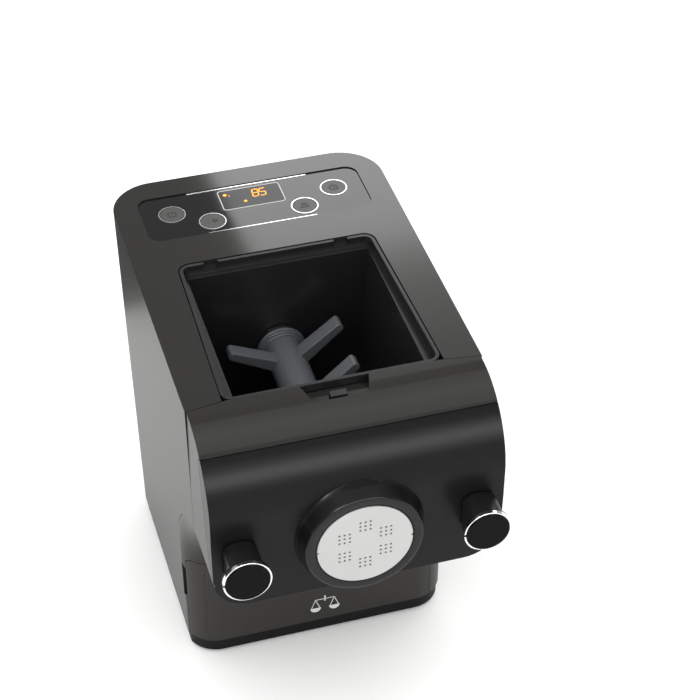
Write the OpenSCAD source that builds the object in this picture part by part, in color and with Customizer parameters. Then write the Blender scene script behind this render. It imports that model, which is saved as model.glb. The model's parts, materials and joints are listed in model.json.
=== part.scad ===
// Electric pasta maker: mixing chamber on top, extrusion nose and two lock knobs in front.
// Millimetres, +Z up, front faces -Y, origin on the floor below the middle of the whole.

/* [Body] */
// Width over the sides at the top
body_w = 215; // [205:1:225]
// Height of the top cover above the floor
body_h = 298; // [292:1:304]
// Distance from the origin to the top of the back
body_back = 179; // [176:1:184]
// How much each side leans in from top to floor
side_taper = 4; // [2:0.5:6]
// How much the back leans in from top to floor
back_lean = 18; // [12:1:22]
// Plan radius of the rear corners
back_corner_r = 35; // [28:1:40]
// Wall of the moulded housing
wall = 2.8; // [2.4:0.1:3.2]
// Thickness of the top cover
top_t = 3; // [2.5:0.1:3.5]
// Parting gap between neighbouring covers
part_gap = 0.5; // [0.4:0.1:0.8]

/* [Base and overhang] */
// Distance of the base front from the origin
base_front = 49; // [46:1:53]
// Height of the underside of the overhang
overhang_z = 161; // [158:1:164]
// Radius of the concave sweep under the overhang
undercut_r = 65; // [60:1:70]
// Radius of the swept edges on each side of it
lower_corner_r = 26; // [20:1:28]
// Height of the rubber feet below the plinth
foot_h = 3; // [2:0.5:4]
// Top of the dark plinth
plinth_z = 14; // [12:0.5:16]
// Step from the housing in to the plinth
plinth_inset = 1.5; // [1:0.1:2.5]

/* [Front] */
// Distance of the front panel's face from the origin
panel_front = 154.5; // [152:0.5:157]
// Radius that rolls the top over into the front
front_r = 56; // [50:1:60]
// Wall of the front panel
panel_t = 3; // [2.5:0.1:3.5]
// Radius of the panel's lower corners
panel_corner_r = 28; // [22:1:32]
// Height of the parting line on top of the panel
panel_top_z = 286; // [282:1:289]
// Height of the hood's lower edge at its rear corner
hood_z = 170; // [168:1:174]
// Distance from the origin of the seam beside the opening
seam_y = 91; // [89:0.5:93]
// How far the seam swings forward towards the sides
seam_swing = 4.5; // [2:0.5:6]

/* [Mixing chamber] */
// Height of the common axis of chamber, screw and disc
axis_z = 211; // [207:1:215]
// Inner radius of the chamber's bowl
bowl_r = 62; // [58:1:64]
// Wall of the chamber
tub_t = 2.5; // [2:0.1:3]
// Half width of the opening at its front
mouth_front_w = 77; // [75:0.5:79]
// Half width of the opening at its back
mouth_back_w = 73; // [71:0.5:75]
// Distance from the origin back to the rim's rear inside edge
mouth_back = 65; // [63:0.5:67]
// Distance from the origin forward to the rim's front inside edge
mouth_front = 88; // [86:0.5:90]
// Depth of the ledge that the lid rests on
lid_ledge = 8.5; // [6:0.5:11]
// Width of that ledge at the back
ledge_w = 5; // [3:0.5:6]
// Thickness of the rim round the opening
rim_t = 2.6; // [2:0.1:3.5]
// Gap between the rim and the top cover
rim_gap = 0.9; // [0.6:0.1:1.2]
// Plan radius of the opening's corners
mouth_r = 6; // [4:0.5:9]

/* [Extruder] */
// Radius of the shaping disc's face
disc_r = 34.7; // [32:0.1:36]
// Distance of the disc's face from the origin
disc_front = 168; // [166:0.5:170]
// Thickness of the disc's face plate
disc_t = 4; // [3:0.5:5]
// Inner radius of the barrel
barrel_r = 31; // [29:0.5:32]
// Wall of the barrel
barrel_t = 3.5; // [3:0.5:4.5]
// Radius of the screw's shaft
screw_shaft_r = 10; // [8:0.5:12]
// Pitch of the screw's flight
screw_pitch = 32; // [26:1:40]
// Radius of the small holes in the disc
hole_r = 0.9; // [0.6:0.1:1.2]
// Spacing of the small holes
hole_pitch = 3.7; // [3:0.1:4.2]
// Radius on which the six groups of holes sit
hole_ring_r = 17.3; // [15:0.1:19]
// Outer radius of the nose ring's front rim
nose_rim_r = 42; // [40:0.5:44]
// Radius of the nose boss where it leaves the panel
nose_base_r = 47; // [45:0.5:50]

/* [Knobs] */
// Distance of each knob from the middle
knob_x = 86.8; // [84:0.1:88]
// Height of the knobs
knob_z = 208.5; // [205:0.5:212]
// Radius of a knob's face
knob_r = 17.4; // [16:0.1:19]
// Half width of the grip behind the face
grip_half_w = 11.5; // [10:0.5:13]
// Distance of the knob faces from the origin
knob_front = 179; // [178:0.5:181]
// Radius of the lock shaft
lock_r = 5; // [4:0.5:6]
// Running clearance of shafts in their bores
shaft_fit = 0.08; // [0.05:0.01:0.1]

/* [Control panel] */
// Half width of the control panel
panel_half_w = 88; // [84:1:90]
// Rear edge of the control panel
ctrl_back = 157.5; // [155:0.5:159]
// Front edge of the control panel
ctrl_front = 101.5; // [99:0.5:103]
// Plan radius of its corners
ctrl_corner_r = 10; // [7:0.5:12]
// Depth of the panel's face below the top cover
ctrl_drop = 1; // [0.6:0.1:1.6]
// Radius of a push button
button_r = 9.2; // [8:0.1:10]
// Travel of a push button
button_travel = 1; // [0.6:0.1:1.2]
// Half width of the display window
display_half_w = 24.2; // [22:0.1:26]
// Length of the display window, back to front
display_l = 24.8; // [22:0.1:26]

/* [Drive] */
// Module of the first gear pair
gear_m1 = 1; // [1:0.05:1.1]
// Module of the second gear pair
gear_m2 = 1.5; // [1.4:0.05:1.6]
// Teeth of the motor pinion
pinion_teeth = 17; // [17:1:19]
// Teeth of the large intermediate gear
wheel_teeth = 68; // [64:1:70]
// Teeth of the small intermediate gear
small_teeth = 17; // [17:1:18]
// Teeth of the output gear
output_teeth = 57; // [54:1:60]
// Radius of the motor
motor_r = 33; // [30:1:35]
// Length of the motor
motor_l = 44; // [38:1:48]

/* [Drawer] */
// Height of the top of the drawer front
drawer_top = 98.7; // [95:0.1:99]
// Where the drawer front ends on the sides
drawer_edge = 33; // [30:0.5:36]
// Length of the tray behind the front
tray_l = 98; // [90:1:104]
// Half width of the tray
tray_half_w = 92; // [88:1:93]
// Wall of the tray
tray_t = 2.4; // [2:0.1:3]

/* [Hidden] */

$fn = 64;
eps = 0.01;
far = 400;                                    // longer than any piece
screw_head_r = 3.2;
screw_head_h = 2;
screw_r = 1.6;                                // pilot hole of a screw
screw_play = 0.05;
seat_gap = 0.3;                               // between parts that slide or lie on each other
base_floor = 3;                               // floor of the base plate

top_under = body_h - top_t;                   // underside of the top cover
sweep_y = -base_front - undercut_r;           // centre of the concave sweep
sweep_z = overhang_z - undercut_r;
front_cy = -(panel_front - front_r);          // centre of the front roll
front_cz = body_h - front_r;
hood_rear_y = -seam_y - seam_swing;           // seam where it reaches the side
hood_rise = 0.33;                             // slope of the hood's lower edge
hood_edge_r = 8;                              // round of its rear lower corner
panel_line_top = [-128, 280];                 // parting of panel and hood on the side
panel_line_low = [-147.5, 186];
panel_edge_r = 6;                             // round of its upper corner
bulkhead_y = -134;                            // rear face of the hood's front wall
panel_foot_lean = 1.5;                        // the panel's face leans back to its foot
chamber_back = mouth_back - ledge_w;          // inside of the chamber's rear wall
chamber_foot = 50;                            // where the front wall meets the bowl
frame_y = chamber_back + tub_t + 1;           // front face of the bulkhead plate
frame_t = 3;
drawer_z = plinth_z + 0.6;                    // underside of the drawer
deck_z = drawer_top + 1.5;                    // underside of the drawer's ceiling
gear_t1 = 9;
gear_t2 = 12;
plate_t = 3;
plate_y0 = frame_y + frame_t;                 // front gearbox plate
gear_y = plate_y0 + plate_t + 1;              // first face of the second gear pair
stage1_y = gear_y + gear_t2 + 1.5;            // first face of the first gear pair
plate_y1 = stage1_y + gear_t1 + 1;            // rear gearbox plate
centre1 = gear_m1 * (pinion_teeth + wheel_teeth) / 2;
centre2 = gear_m2 * (small_teeth + output_teeth) / 2;
middle_z = axis_z - centre2;
motor_z = middle_z - centre1;
motor_y = plate_y1 + plate_t;                 // front of the motor can
ctrl_z = body_h - ctrl_drop;                  // face of the control panel
ctrl_t = 2.5;
button_spots = [[-64.5, 133.5], [-36.5, 116.5], [64.5, 133.5], [36.5, 116.5]];
board_z = ctrl_z - ctrl_t - 12;               // top of the control board
board_t = 1.6;
barrel_front = disc_front - disc_t - 4.5;     // front end of the barrel

dark_grey = [0.17, 0.165, 0.16];
satin_black = [0.09, 0.09, 0.09];
gloss_black = [0.05, 0.05, 0.05];
light_grey = [0.80, 0.80, 0.79];
mid_grey = [0.42, 0.42, 0.42];

// ---------------------------------------------------------------- helpers

function half_w(z) = body_w / 2 - side_taper * (body_h - z) / body_h;
function back_y(z) = body_back - back_lean * (body_h - z) / body_h;
function arc(c, r, a0, a1, n) =
    [for (i = [0:n]) let (a = a0 + (a1 - a0) * i / n) c + r * [cos(a), sin(a)]];

// A (y, z) outline extruded across the width
module along_x(w) rotate([90, 0, 90]) linear_extrude(w, center = true) children();

// An (x, z) outline extruded from y0 to y1
module along_y(y0, y1) translate([0, y1, 0]) rotate([90, 0, 0]) linear_extrude(y1 - y0) children();

module y_rod(r, y0, y1, x = 0, z = axis_z)
    translate([x, y1, z]) rotate([90, 0, 0]) cylinder(r = r, h = y1 - y0);

module y_cone(r_front, r_back, y0, y1, x = 0, z = axis_z)
    translate([x, y1, z]) rotate([90, 0, 0]) cylinder(r1 = r_back, r2 = r_front, h = y1 - y0);

// Rectangle between two corners with round corners, kept as true arcs
module round_box_2d(x0, y0, x1, y1, r) {
    translate([x0 + r, y0]) square([x1 - x0 - 2 * r, y1 - y0]);
    translate([x0, y0 + r]) square([x1 - x0, y1 - y0 - 2 * r]);
    for (x = [x0 + r, x1 - r], y = [y0 + r, y1 - r]) translate([x, y]) circle(r);
}

module slab(x0, y0, z0, x1, y1, z1)
    translate([x0, y0, z0]) cube([x1 - x0, y1 - y0, z1 - z0]);

// ---------------------------------------------------------------- outer form

// Plan of the body at height z, moved in by inset
module plan_slice(z, inset) {
    w = half_w(z) - inset;
    b = back_y(z) - inset;
    r = back_corner_r - inset;
    translate([0, 0, z]) linear_extrude(eps) {
        translate([-w, -panel_front - 20]) square([2 * w, panel_front]);
        for (s = [-1, 1]) translate([s * (w - r), b - r]) circle(r, $fn = 2 * $fn);
    }
}

module body_column(z0, z1, inset) hull() {
    plan_slice(z0, inset);
    plan_slice(z1 - eps, inset);
}

// Solid section seen along the sweep: flat face with a round edge on each side
module sweep_section_2d(inset) {
    r = lower_corner_r - inset;
    w = half_w(overhang_z - undercut_r / 2) - inset;
    face = undercut_r + inset;
    translate([face + r, -w]) square([far, 2 * w]);
    translate([face, r - w]) square([r + 1, 2 * (w - r)]);
    for (s = [-1, 1]) translate([face + r, s * (w - r)]) circle(r);
}

module sweep_cut_2d(inset) difference() {
    translate([0, -body_w]) square([undercut_r + lower_corner_r, 2 * body_w]);
    sweep_section_2d(inset);
}

// Space in front of the base and under the overhang
module overhang_space(inset) {
    translate([0, sweep_y, sweep_z]) rotate([90, 0, 90])
        rotate_extrude(angle = 90, $fn = 96) sweep_cut_2d(inset);
    translate([0, sweep_y, 0]) linear_extrude(sweep_z) rotate(90) sweep_cut_2d(inset);
    translate([0, sweep_y, sweep_z]) rotate([90, 0, 0])
        linear_extrude(far) rotate(90) sweep_cut_2d(inset);
    slab(-body_w, sweep_y - far, -1, body_w, sweep_y, sweep_z);
}

module body_form(z0, z1, inset = 0) difference() {
    body_column(z0, z1, inset);
    overhang_space(inset);
}

// Side view behind the front face and below the top
module front_roll_2d(inset) {
    face = -panel_front + inset;
    translate([front_cy, front_cz]) circle(front_r - inset, $fn = 128);
    polygon([[front_cy, body_h - inset], [far, body_h - inset], [far, 0],
        [face + panel_foot_lean, 0], [face + panel_foot_lean, overhang_z], [face, front_cz],
        [front_cy, front_cz]]);
}

// Zone of the hood: in front of the seam and above its lower edge
module hood_zone(gap = 0) intersection() {
    translate([0, 0, overhang_z]) linear_extrude(far) polygon([
        [-mouth_front_w, -seam_y + gap], [mouth_front_w, -seam_y + gap],
        [body_w / 2, hood_rear_y + gap], [body_w / 2 + 20, hood_rear_y - 3 + gap],
        [body_w / 2 + 20, -far], [-body_w / 2 - 20, -far],
        [-body_w / 2 - 20, hood_rear_y - 3 + gap], [-body_w / 2, hood_rear_y + gap]]);
    along_x(body_w + 60) hood_side_2d(gap);
}

module hood_side_2d(gap) {
    tilt = atan(hood_rise);
    corner = [hood_rear_y - hood_edge_r, hood_z + hood_edge_r];
    low = arc(corner, hood_edge_r + gap, 0, -90 - tilt, 8);
    reach = 80;
    polygon(concat([[hood_rear_y + gap, far], [hood_rear_y + gap, corner[1]]],
        low, [[corner[0] - reach, low[8][1] + hood_rise * reach],
        [corner[0] - reach, far]],
        [[hood_rear_y - 20, far]]));
    translate([hood_rear_y, corner[1]]) square([seam_swing + gap, far]);
}

// Zone of the front panel: in front of the parting line on each side
module panel_zone(gap = 0) along_x(body_w + 60) polygon(concat([
    [-far, overhang_z - 20], [panel_line_low[0] + gap, overhang_z - 20],
    [panel_line_low[0] + gap, panel_line_low[1]]],
    arc([panel_line_top[0] - panel_edge_r, panel_top_z - panel_edge_r], panel_edge_r + gap, 0, 90, 6),
    [[-far, panel_top_z + gap]]));

// Front view of the panel: round lower corners
module panel_outline_2d(inset) {
    w = half_w(overhang_z + 60) - inset;
    r = panel_corner_r - inset;
    translate([-w, overhang_z + inset + r]) square([2 * w, far]);
    translate([r - w, overhang_z + inset]) square([2 * (w - r), r + 1]);
    for (s = [-1, 1]) translate([s * (w - r), overhang_z + inset + r]) circle(r);
}

// ---------------------------------------------------------------- chamber forms

// Plan of the opening moved out by grow, open towards the front by reach
module mouth_2d(grow, reach = 0) {
    f = -mouth_front - grow - reach;
    b = mouth_back + grow;
    wf = mouth_front_w + grow;
    wb = mouth_back_w + grow;
    r = mouth_r + grow;
    hull() {
        for (s = [-1, 1]) {
            translate([s * (wb - r), b - r]) circle(r);
            translate([s * (wf - r), f + r]) circle(r);
        }
        if (reach > 0) translate([-wf, f]) square([2 * wf, reach]);
    }
}

// Point where the chamber's side meets the bowl tangentially
function bowl_touch(r, w, h) = let (d = sqrt(w * w + h * h), a = atan2(h, w), b = acos(r / d))
    r * [cos(a - b), sin(a - b)];

// Cross section of the chamber, moved out by grow
module bowl_2d(grow, top) {
    r = bowl_r + grow;
    w = mouth_back_w - 3 + grow;
    t = bowl_touch(r, w, top - axis_z);
    translate([0, axis_z]) circle(r, $fn = 128);
    polygon([[-w, top], [-t[0], axis_z + t[1]], [t[0], axis_z + t[1]], [w, top]]);
}

// Side view of the chamber: the front wall slopes back down to the bowl
module tub_side_2d(grow) polygon([
    [chamber_back + grow, far], [chamber_back + grow, 0], [-chamber_foot - grow, 0],
    [-chamber_foot - grow, axis_z - 32], [-mouth_front + 3 - grow, axis_z + 22],
    [-mouth_front + 3 - grow, far]]);

module tub_hollow(grow, top) intersection() {
    along_y(-far / 2, far / 2) bowl_2d(grow, top);
    along_x(far) tub_side_2d(grow);
}

// ---------------------------------------------------------------- gears

function inv_angle(r, rb) = let (a = acos(rb / r)) tan(a) - a * PI / 180;

// Outline of an involute gear, pressure angle 20 degrees
function gear_points(m, teeth, play = 0.16, steps = 3) = let (
    rp = m * teeth / 2,
    rb = rp * cos(20),
    ra = rp + m,
    rf = rp - 1.25 * m,
    r0 = max(rb + eps, rf),
    half = 90 / teeth - play / rp * 90 / PI + inv_angle(rp, rb) * 180 / PI
) [for (i = [0:teeth - 1], p = concat(
        [[rf, -half + inv_angle(r0, rb) * 180 / PI]],
        [for (k = [0:steps]) let (r = r0 + (ra - r0) * k / steps)
            [r, -half + inv_angle(r, rb) * 180 / PI]],
        [for (k = [steps:-1:0]) let (r = r0 + (ra - r0) * k / steps)
            [r, half - inv_angle(r, rb) * 180 / PI]],
        [[rf, half - inv_angle(r0, rb) * 180 / PI]]))
    p[0] * [cos(p[1] + i * 360 / teeth), sin(p[1] + i * 360 / teeth)]];

// Spur gear along Y between y0 and y1 with its first tooth turned to turn
module spur(m, teeth, y0, y1, z, turn = 0)
    translate([0, y1, z]) rotate([90, 0, 0]) linear_extrude(y1 - y0)
        rotate(turn) polygon(gear_points(m, teeth));

// ---------------------------------------------------------------- base

base_top = foot_h + base_floor;               // upper face of the base plate's floor
cell_t = 4;                                   // thickness of a load cell
cell_z = plinth_z - 0.7 - cell_t;             // underside of the load cells
cell_w = 12;
cell_reach = 24;                              // from the foot to the fixed end
foot_r = 9;
stem_r = 4;
rail_x = tray_half_w + seat_gap;              // inner face of the drawer's rails
rail_t = 2.4;

function foot_spots() = [for (x = [-80, 80], y = [-28, 135]) [x, y]];
function frame_feet() = [for (x = [-67, 67], y = [frame_y + 14, frame_y + 60]) [x, y]];

module base_plate() color(gloss_black) difference() {
    union() {
        difference() {
            body_form(foot_h, plinth_z - part_gap, plinth_inset);
            body_form(base_top, plinth_z + 1, plinth_inset + 2.5);
        }
        // rails: a shelf under each edge of the tray and a guide beside it
        for (s = [-1, 1]) scale([s, 1, 1]) {
            slab(rail_x, -32, base_top - eps, rail_x + rail_t, 60, 40);
            slab(rail_x - 4, -32, base_top - eps, rail_x + eps, 60, drawer_z - seat_gap);
            slab(59, -40, base_top - eps, 61, 150, base_top + 5);
        }
        for (p = foot_spots()) translate([p[0], p[1], base_top - eps]) cylinder(r = 7, h = 1.6);
        for (p = frame_feet()) translate([p[0], p[1], base_top - eps])
            cylinder(r = 5, h = plinth_z - base_top + eps);
    }
    for (p = foot_spots()) translate([p[0], p[1], 0]) cylinder(r = stem_r + 0.6, h = 20);
    for (p = frame_feet()) translate([p[0], p[1], 0]) {
        cylinder(r = screw_r + 0.2, h = 30);
        cylinder(r = screw_head_r + 0.3, h = foot_h + screw_head_h + 0.4);
    }
    // air slots under the motor
    for (i = [-4:4]) translate([0, 110 + i * 7, 0])
        linear_extrude(20) round_box_2d(-40, -1.5, 40, 1.5, 1.4);
}

// Each foot's stem passes through the base plate to its load cell
module rubber_feet() color(gloss_black) for (p = foot_spots()) translate([p[0], p[1], 0]) {
    cylinder(r1 = foot_r - 1, r2 = foot_r, h = foot_h);
    translate([0, 0, foot_h - eps]) cylinder(r = stem_r, h = cell_z - foot_h + eps);
}

// Bending beams: one end stands on its boss, the other carries the foot
module load_cells() color("silver") for (p = foot_spots()) {
    fixed_y = p[1] + (p[1] > 0 ? -cell_reach : cell_reach);
    difference() {
        slab(p[0] - cell_w / 2, min(p[1], fixed_y) - 5, cell_z, p[0] + cell_w / 2,
            max(p[1], fixed_y) + 5, cell_z + cell_t);
        for (y = [p[1], fixed_y]) translate([p[0], y, cell_z - 1]) cylinder(r = 1.5, h = cell_t + 2);
        translate([p[0], (p[1] + fixed_y) / 2, cell_z - 1]) cylinder(r = 3, h = cell_t + 2);
    }
    translate([p[0], fixed_y, base_top]) cylinder(r = 4, h = cell_z - base_top + eps);
}

// ---------------------------------------------------------------- housing

module finger_slots() for (s = [-1, 1])
    translate([s * body_w / 2, -drawer_edge + 13.5, 71]) rotate([0, 90, 0])
        cylinder(r = 19.5, h = 30, center = true);

module main_housing() color(dark_grey) difference() {
    body_form(plinth_z, top_under);
    body_form(plinth_z - 1, top_under + 1, wall);
    hood_zone(part_gap);
    panel_zone(part_gap);
    // room for the drawer front and its tray
    along_x(2 * body_w) drawer_side_2d(part_gap);
    slab(-rail_x - rail_t, -far / 2, 0, rail_x + rail_t, 0, drawer_top + part_gap);
    intersection() {
        finger_slots();
        slab(-far / 2, -drawer_edge - 1, 0, far / 2, -drawer_edge + 6, 120);
    }
    rear_vents();
    gland_hole();
}

module rear_vents() for (i = [-5:5], row = [0, 1])
    translate([i * 9, 0, 70 + row * 34]) rotate([-90, 0, 0]) linear_extrude(far)
        round_box_2d(-1.6, -14, 1.6, 14, 1.5);

gland_x = -60;
gland_z = 34;
gland_r = 8;

module gland_hole() y_rod(gland_r, chamber_back, far, gland_x, gland_z);

board_arms = [176, 250];                      // heights of the arms that hold the power board
power_x = -84;                                // outer face of the power board
arm_w = 4;

function gear_ears() = [for (s = [-1, 1]) each [[s * 54.5, axis_z], [s * 47, middle_z]]];

// Bulkhead, cradle ribs under the chamber and the drawer's ceiling
module inner_frame() color(mid_grey) difference() {
    union() {
        slab(-94, frame_y, plinth_z, 94, frame_y + frame_t, 268);
        difference() {
            body_form(deck_z, deck_z + 2.5, wall + 0.6);
            slab(-far / 2, frame_y + 1, 0, far / 2, far, far);
        }
        for (y = [-30, 20]) slab(-70, y, deck_z + 2, 70, y + 3, axis_z - 20);
        for (p = frame_feet()) slab(p[0] - 6, frame_y, plinth_z, p[0] + 6, p[1] + 6, plinth_z + 4);
        for (z = board_arms)
            slab(power_x - arm_w, frame_y + 1, z - 4, power_x, frame_y + 78, z + 4);
    }
    along_y(-60, frame_y - seat_gap) bowl_2d(tub_t + seat_gap, body_h);
    y_rod(bearing_r + 6, frame_y - 1, frame_y + frame_t + 1);
    for (p = frame_feet()) translate([p[0], p[1], 0]) cylinder(r = screw_r, h = 40);
    for (p = gear_ears()) y_rod(screw_r, frame_y - 1, frame_y + frame_t + 1, p[0], p[1]);
    for (s = [-1, 1]) slab(s * 78 - 9, frame_y - 1, 186, s * 78 + 9, frame_y + frame_t + 1, 240);
}

module top_cover() color(dark_grey) difference() {
    union() {
        difference() {
            body_form(top_under, body_h);
            translate([0, 0, top_under - 1]) linear_extrude(top_t + 2) mouth_2d(rim_t + rim_gap, 60);
        }
        // skirt beside and behind the chamber
        translate([0, 0, top_under - 10]) linear_extrude(10 + eps) difference() {
            mouth_2d(rim_t + rim_gap + 2, 0);
            mouth_2d(rim_t + rim_gap, 60);
            translate([-far / 2, -far]) square([far, far - seam_y + 4]);
        }
        // seat of the control panel
        translate([0, 0, ctrl_z - ctrl_t - 2]) linear_extrude(top_under - ctrl_z + ctrl_t + 2 + eps)
            difference() {
                ctrl_2d(2.5);
                ctrl_2d(-3);
            }
    }
    hood_zone(part_gap);
    translate([0, 0, ctrl_z - ctrl_t]) linear_extrude(20) ctrl_2d(0.2);
    translate([0, 0, ctrl_z - ctrl_t - 3]) linear_extrude(20) ctrl_2d(-3);
}

module ctrl_2d(grow) round_box_2d(-panel_half_w - grow, ctrl_front - grow,
    panel_half_w + grow, ctrl_back + grow, ctrl_corner_r + grow);

// ---------------------------------------------------------------- controls

display_y0 = ctrl_back - 4.7 - display_l;

module display_2d(grow) round_box_2d(-display_half_w - grow, display_y0 - grow,
    display_half_w + grow, display_y0 + display_l + grow, 1.5 + grow);

module control_panel() color(gloss_black) difference() {
    translate([0, 0, ctrl_z - ctrl_t]) linear_extrude(ctrl_t) ctrl_2d(0);
    for (p = button_spots) translate([p[0], p[1], 200]) cylinder(r = button_r + 0.9, h = far);
    translate([0, 0, ctrl_z - 1.2]) linear_extrude(5) display_2d(0);
    translate([0, 0, 200]) linear_extrude(far) display_2d(-1.5);
}

module display_window() color("dimgray") translate([0, 0, ctrl_z - 1.2])
    linear_extrude(1.2) display_2d(-0.1);

module display_module() color("black") difference() {
    union() {
        translate([-display_half_w + 2, display_y0 + 2, board_z])
            cube([2 * display_half_w - 4, display_l - 4, ctrl_z - board_z - 3.2]);
        slab(-display_half_w - 1, display_y0 + 1, board_z, display_half_w + 1,
            display_y0 + display_l - 1, board_z + 2);
    }
    // light wells of two digits and three lamps
    for (x = [2, 13], y = [0, 8])
        translate([x, display_y0 + 5 + y, board_z + 3]) cube([8, 6, 20]);
    for (p = [[-17, 17], [-17, 7], [-7, 12]])
        translate([p[0], display_y0 + p[1], board_z + 3]) cylinder(r = 1.6, h = 20);
}

// Cap with a flange under the panel and a stem over its key switch
module button(i) color(mid_grey) translate([button_spots[i][0], button_spots[i][1], 0]) {
    translate([0, 0, ctrl_z - ctrl_t - 0.3 - button_travel]) cylinder(r = button_r, h = ctrl_t + 0.6 + button_travel);
    translate([0, 0, ctrl_z - ctrl_t - 2.3]) cylinder(r = button_r + 2.2, h = 1.8);
    translate([0, 0, board_z + 3.5 + button_travel + 0.3])
        cylinder(r = 2.2, h = ctrl_z - ctrl_t - 2 - board_z - 3.8 - button_travel);
}
module power_button() button(0);
module program_button() button(1);
module timer_button() button(2);
module scale_button() button(3);

module button_rings() color("silver") for (p = button_spots)
    translate([p[0], p[1], ctrl_z]) difference() {
        cylinder(r = button_r + 1.4, h = 0.4);
        translate([0, 0, -1]) cylinder(r = button_r + 0.5, h = 3);
    }

function board_posts() = [for (x = [-76, 76], y = [ctrl_front + 9, ctrl_back - 9]) [x, y]];

// Board that hangs from the control panel on four posts
module control_board() color("darkgreen") difference() {
    union() {
        slab(-80, ctrl_front + 5, board_z - board_t, 80, ctrl_back - 4, board_z);
        for (p = board_posts()) translate([p[0], p[1], board_z - eps])
            cylinder(r = 3, h = ctrl_z - ctrl_t - board_z + eps);
        // socket of the ribbon cable
        slab(ribbon_x - ribbon_w / 2 - 2, ribbon_y1 - 3, board_z - board_t - 4,
            ribbon_x + ribbon_w / 2 + 2, ribbon_y1 + 3, board_z - board_t + eps);
    }
    for (p = board_posts()) translate([p[0], p[1], board_z - 5]) cylinder(r = screw_r, h = 12);
}

module board_screws() color("silver") for (p = board_posts())
    translate([p[0], p[1], board_z - board_t - screw_head_h]) {
        cylinder(r = screw_head_r, h = screw_head_h);
        cylinder(r = screw_r - screw_play, h = screw_head_h + board_t + 6);
    }

module key_switches() color("black") for (p = button_spots) translate([p[0], p[1], board_z]) {
    translate([-3, -3, 0]) cube([6, 6, 2.5]);
    translate([0, 0, 2.5 - eps]) cylinder(r = 1.6, h = 1);
}

power_y = frame_y + 18;                       // front edge of the power board
power_t = 1.6;
ribbon_x = -68;
ribbon_w = 10;
ribbon_y0 = power_y + 36;                     // header on the power board
ribbon_y1 = ctrl_back - 22;                   // socket under the control board
header_z = 252;

// Board on the frame's two arms: transformer, two capacitors, heat sink, cable header
module power_board() color("darkgreen") {
    x = power_x + power_t;
    slab(power_x, power_y, 168, x, power_y + 60, 258);
    slab(x - eps, power_y + 6, 176, x + 19, power_y + 32, 206);
    for (z = [218, 238]) translate([x - eps, power_y + 16, z]) rotate([0, 90, 0]) cylinder(r = 8, h = 15);
    for (i = [0:4]) slab(x - eps, power_y + 42 + i * 3, 190, x + 12, power_y + 43.4 + i * 3, 232);
    slab(x - eps, ribbon_y0 - 3, header_z - 6, ribbon_x + ribbon_w / 2, ribbon_y0 + 3, header_z);
}

// Flat cable from the header up to the control board's socket
module ribbon_cable() color("dimgray") {
    top = board_z - board_t - 4;
    translate([ribbon_x, 0, 0]) along_x(ribbon_w) polygon([
        [ribbon_y0 - 0.5, header_z], [ribbon_y0 + 0.5, header_z], [ribbon_y0 + 0.5, header_z + 5],
        [ribbon_y1 + 0.5, top - 5.3], [ribbon_y1 + 0.5, top], [ribbon_y1 - 0.5, top],
        [ribbon_y1 - 0.5, top - 5], [ribbon_y0 - 0.5, header_z + 5.3]]);
}

module cord_gland() color(gloss_black) {
    y = back_y(gland_z);
    difference() {
        union() {
            y_rod(gland_r - 0.1, y - 8, y + 1, gland_x, gland_z);
            y_rod(gland_r + 2.5, y + 0.6, y + 3, gland_x, gland_z);
            y_rod(gland_r + 1.5, y - 8, y - wall - 1, gland_x, gland_z);
        }
        y_rod(3.6, 0, far, gland_x, gland_z);
    }
}

// ---------------------------------------------------------------- drive

module motor_can() color("silver") difference() {
    union() {
        y_rod(motor_r, motor_y, motor_y + motor_l, 0, motor_z);
        y_rod(9, motor_y, motor_y + motor_l + 2, 0, motor_z);
        for (s = [-1, 1]) slab(s * (motor_r + 3) - 7, motor_y, motor_z - 6,
            s * (motor_r + 3) + 7, motor_y + 3, motor_z + 6);
    }
    y_rod(motor_r - 1.6, motor_y + 2, motor_y + motor_l - 2, 0, motor_z);
    y_rod(8, 0, far, 0, motor_z);
    for (s = [-1, 1]) y_rod(screw_r, 0, far, s * (motor_r + 5.5), motor_z);
    for (a = [0:60:300]) translate([0, motor_y + motor_l - 5, motor_z]) rotate([0, a, 0])
        translate([18, 0, 0]) rotate([-90, 0, 0]) linear_extrude(10) round_box_2d(-6, -2.5, 6, 2.5, 2);
}

module motor_stator() color("peru") difference() {
    y_rod(motor_r - 1.7, motor_y + 8, motor_y + motor_l - 10, 0, motor_z);
    y_rod(20, 0, far, 0, motor_z);
    for (a = [0:60:300]) translate([0, 0, motor_z]) rotate([0, a, 0])
        translate([26, motor_y + 4, 0]) rotate([-90, 0, 0]) linear_extrude(far) round_box_2d(-3, -4.5, 3, 4.5, 2);
}

shaft_r = 4;                                  // motor shaft
shaft2_r = 5;                                 // gear shafts
module motor_rotor() color("gray") {
    y_rod(shaft_r, plate_y0 + 9, motor_y + motor_l + 12, 0, motor_z);
    difference() {
        y_rod(19.6, motor_y + 9, motor_y + motor_l - 11, 0, motor_z);
        for (a = [0:30:330]) translate([0, 0, motor_z]) rotate([0, a, 0])
            translate([17, motor_y, 0]) rotate([-90, 0, 0]) cylinder(r = 1.3, h = far);
        y_rod(shaft_r - 1, 0, far, 0, motor_z);
    }
}

module motor_pinion() color("silver") difference() {
    spur(gear_m1, pinion_teeth, stage1_y, stage1_y + gear_t1, motor_z, 90);
    y_rod(shaft_r, 0, far, 0, motor_z);
}

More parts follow.
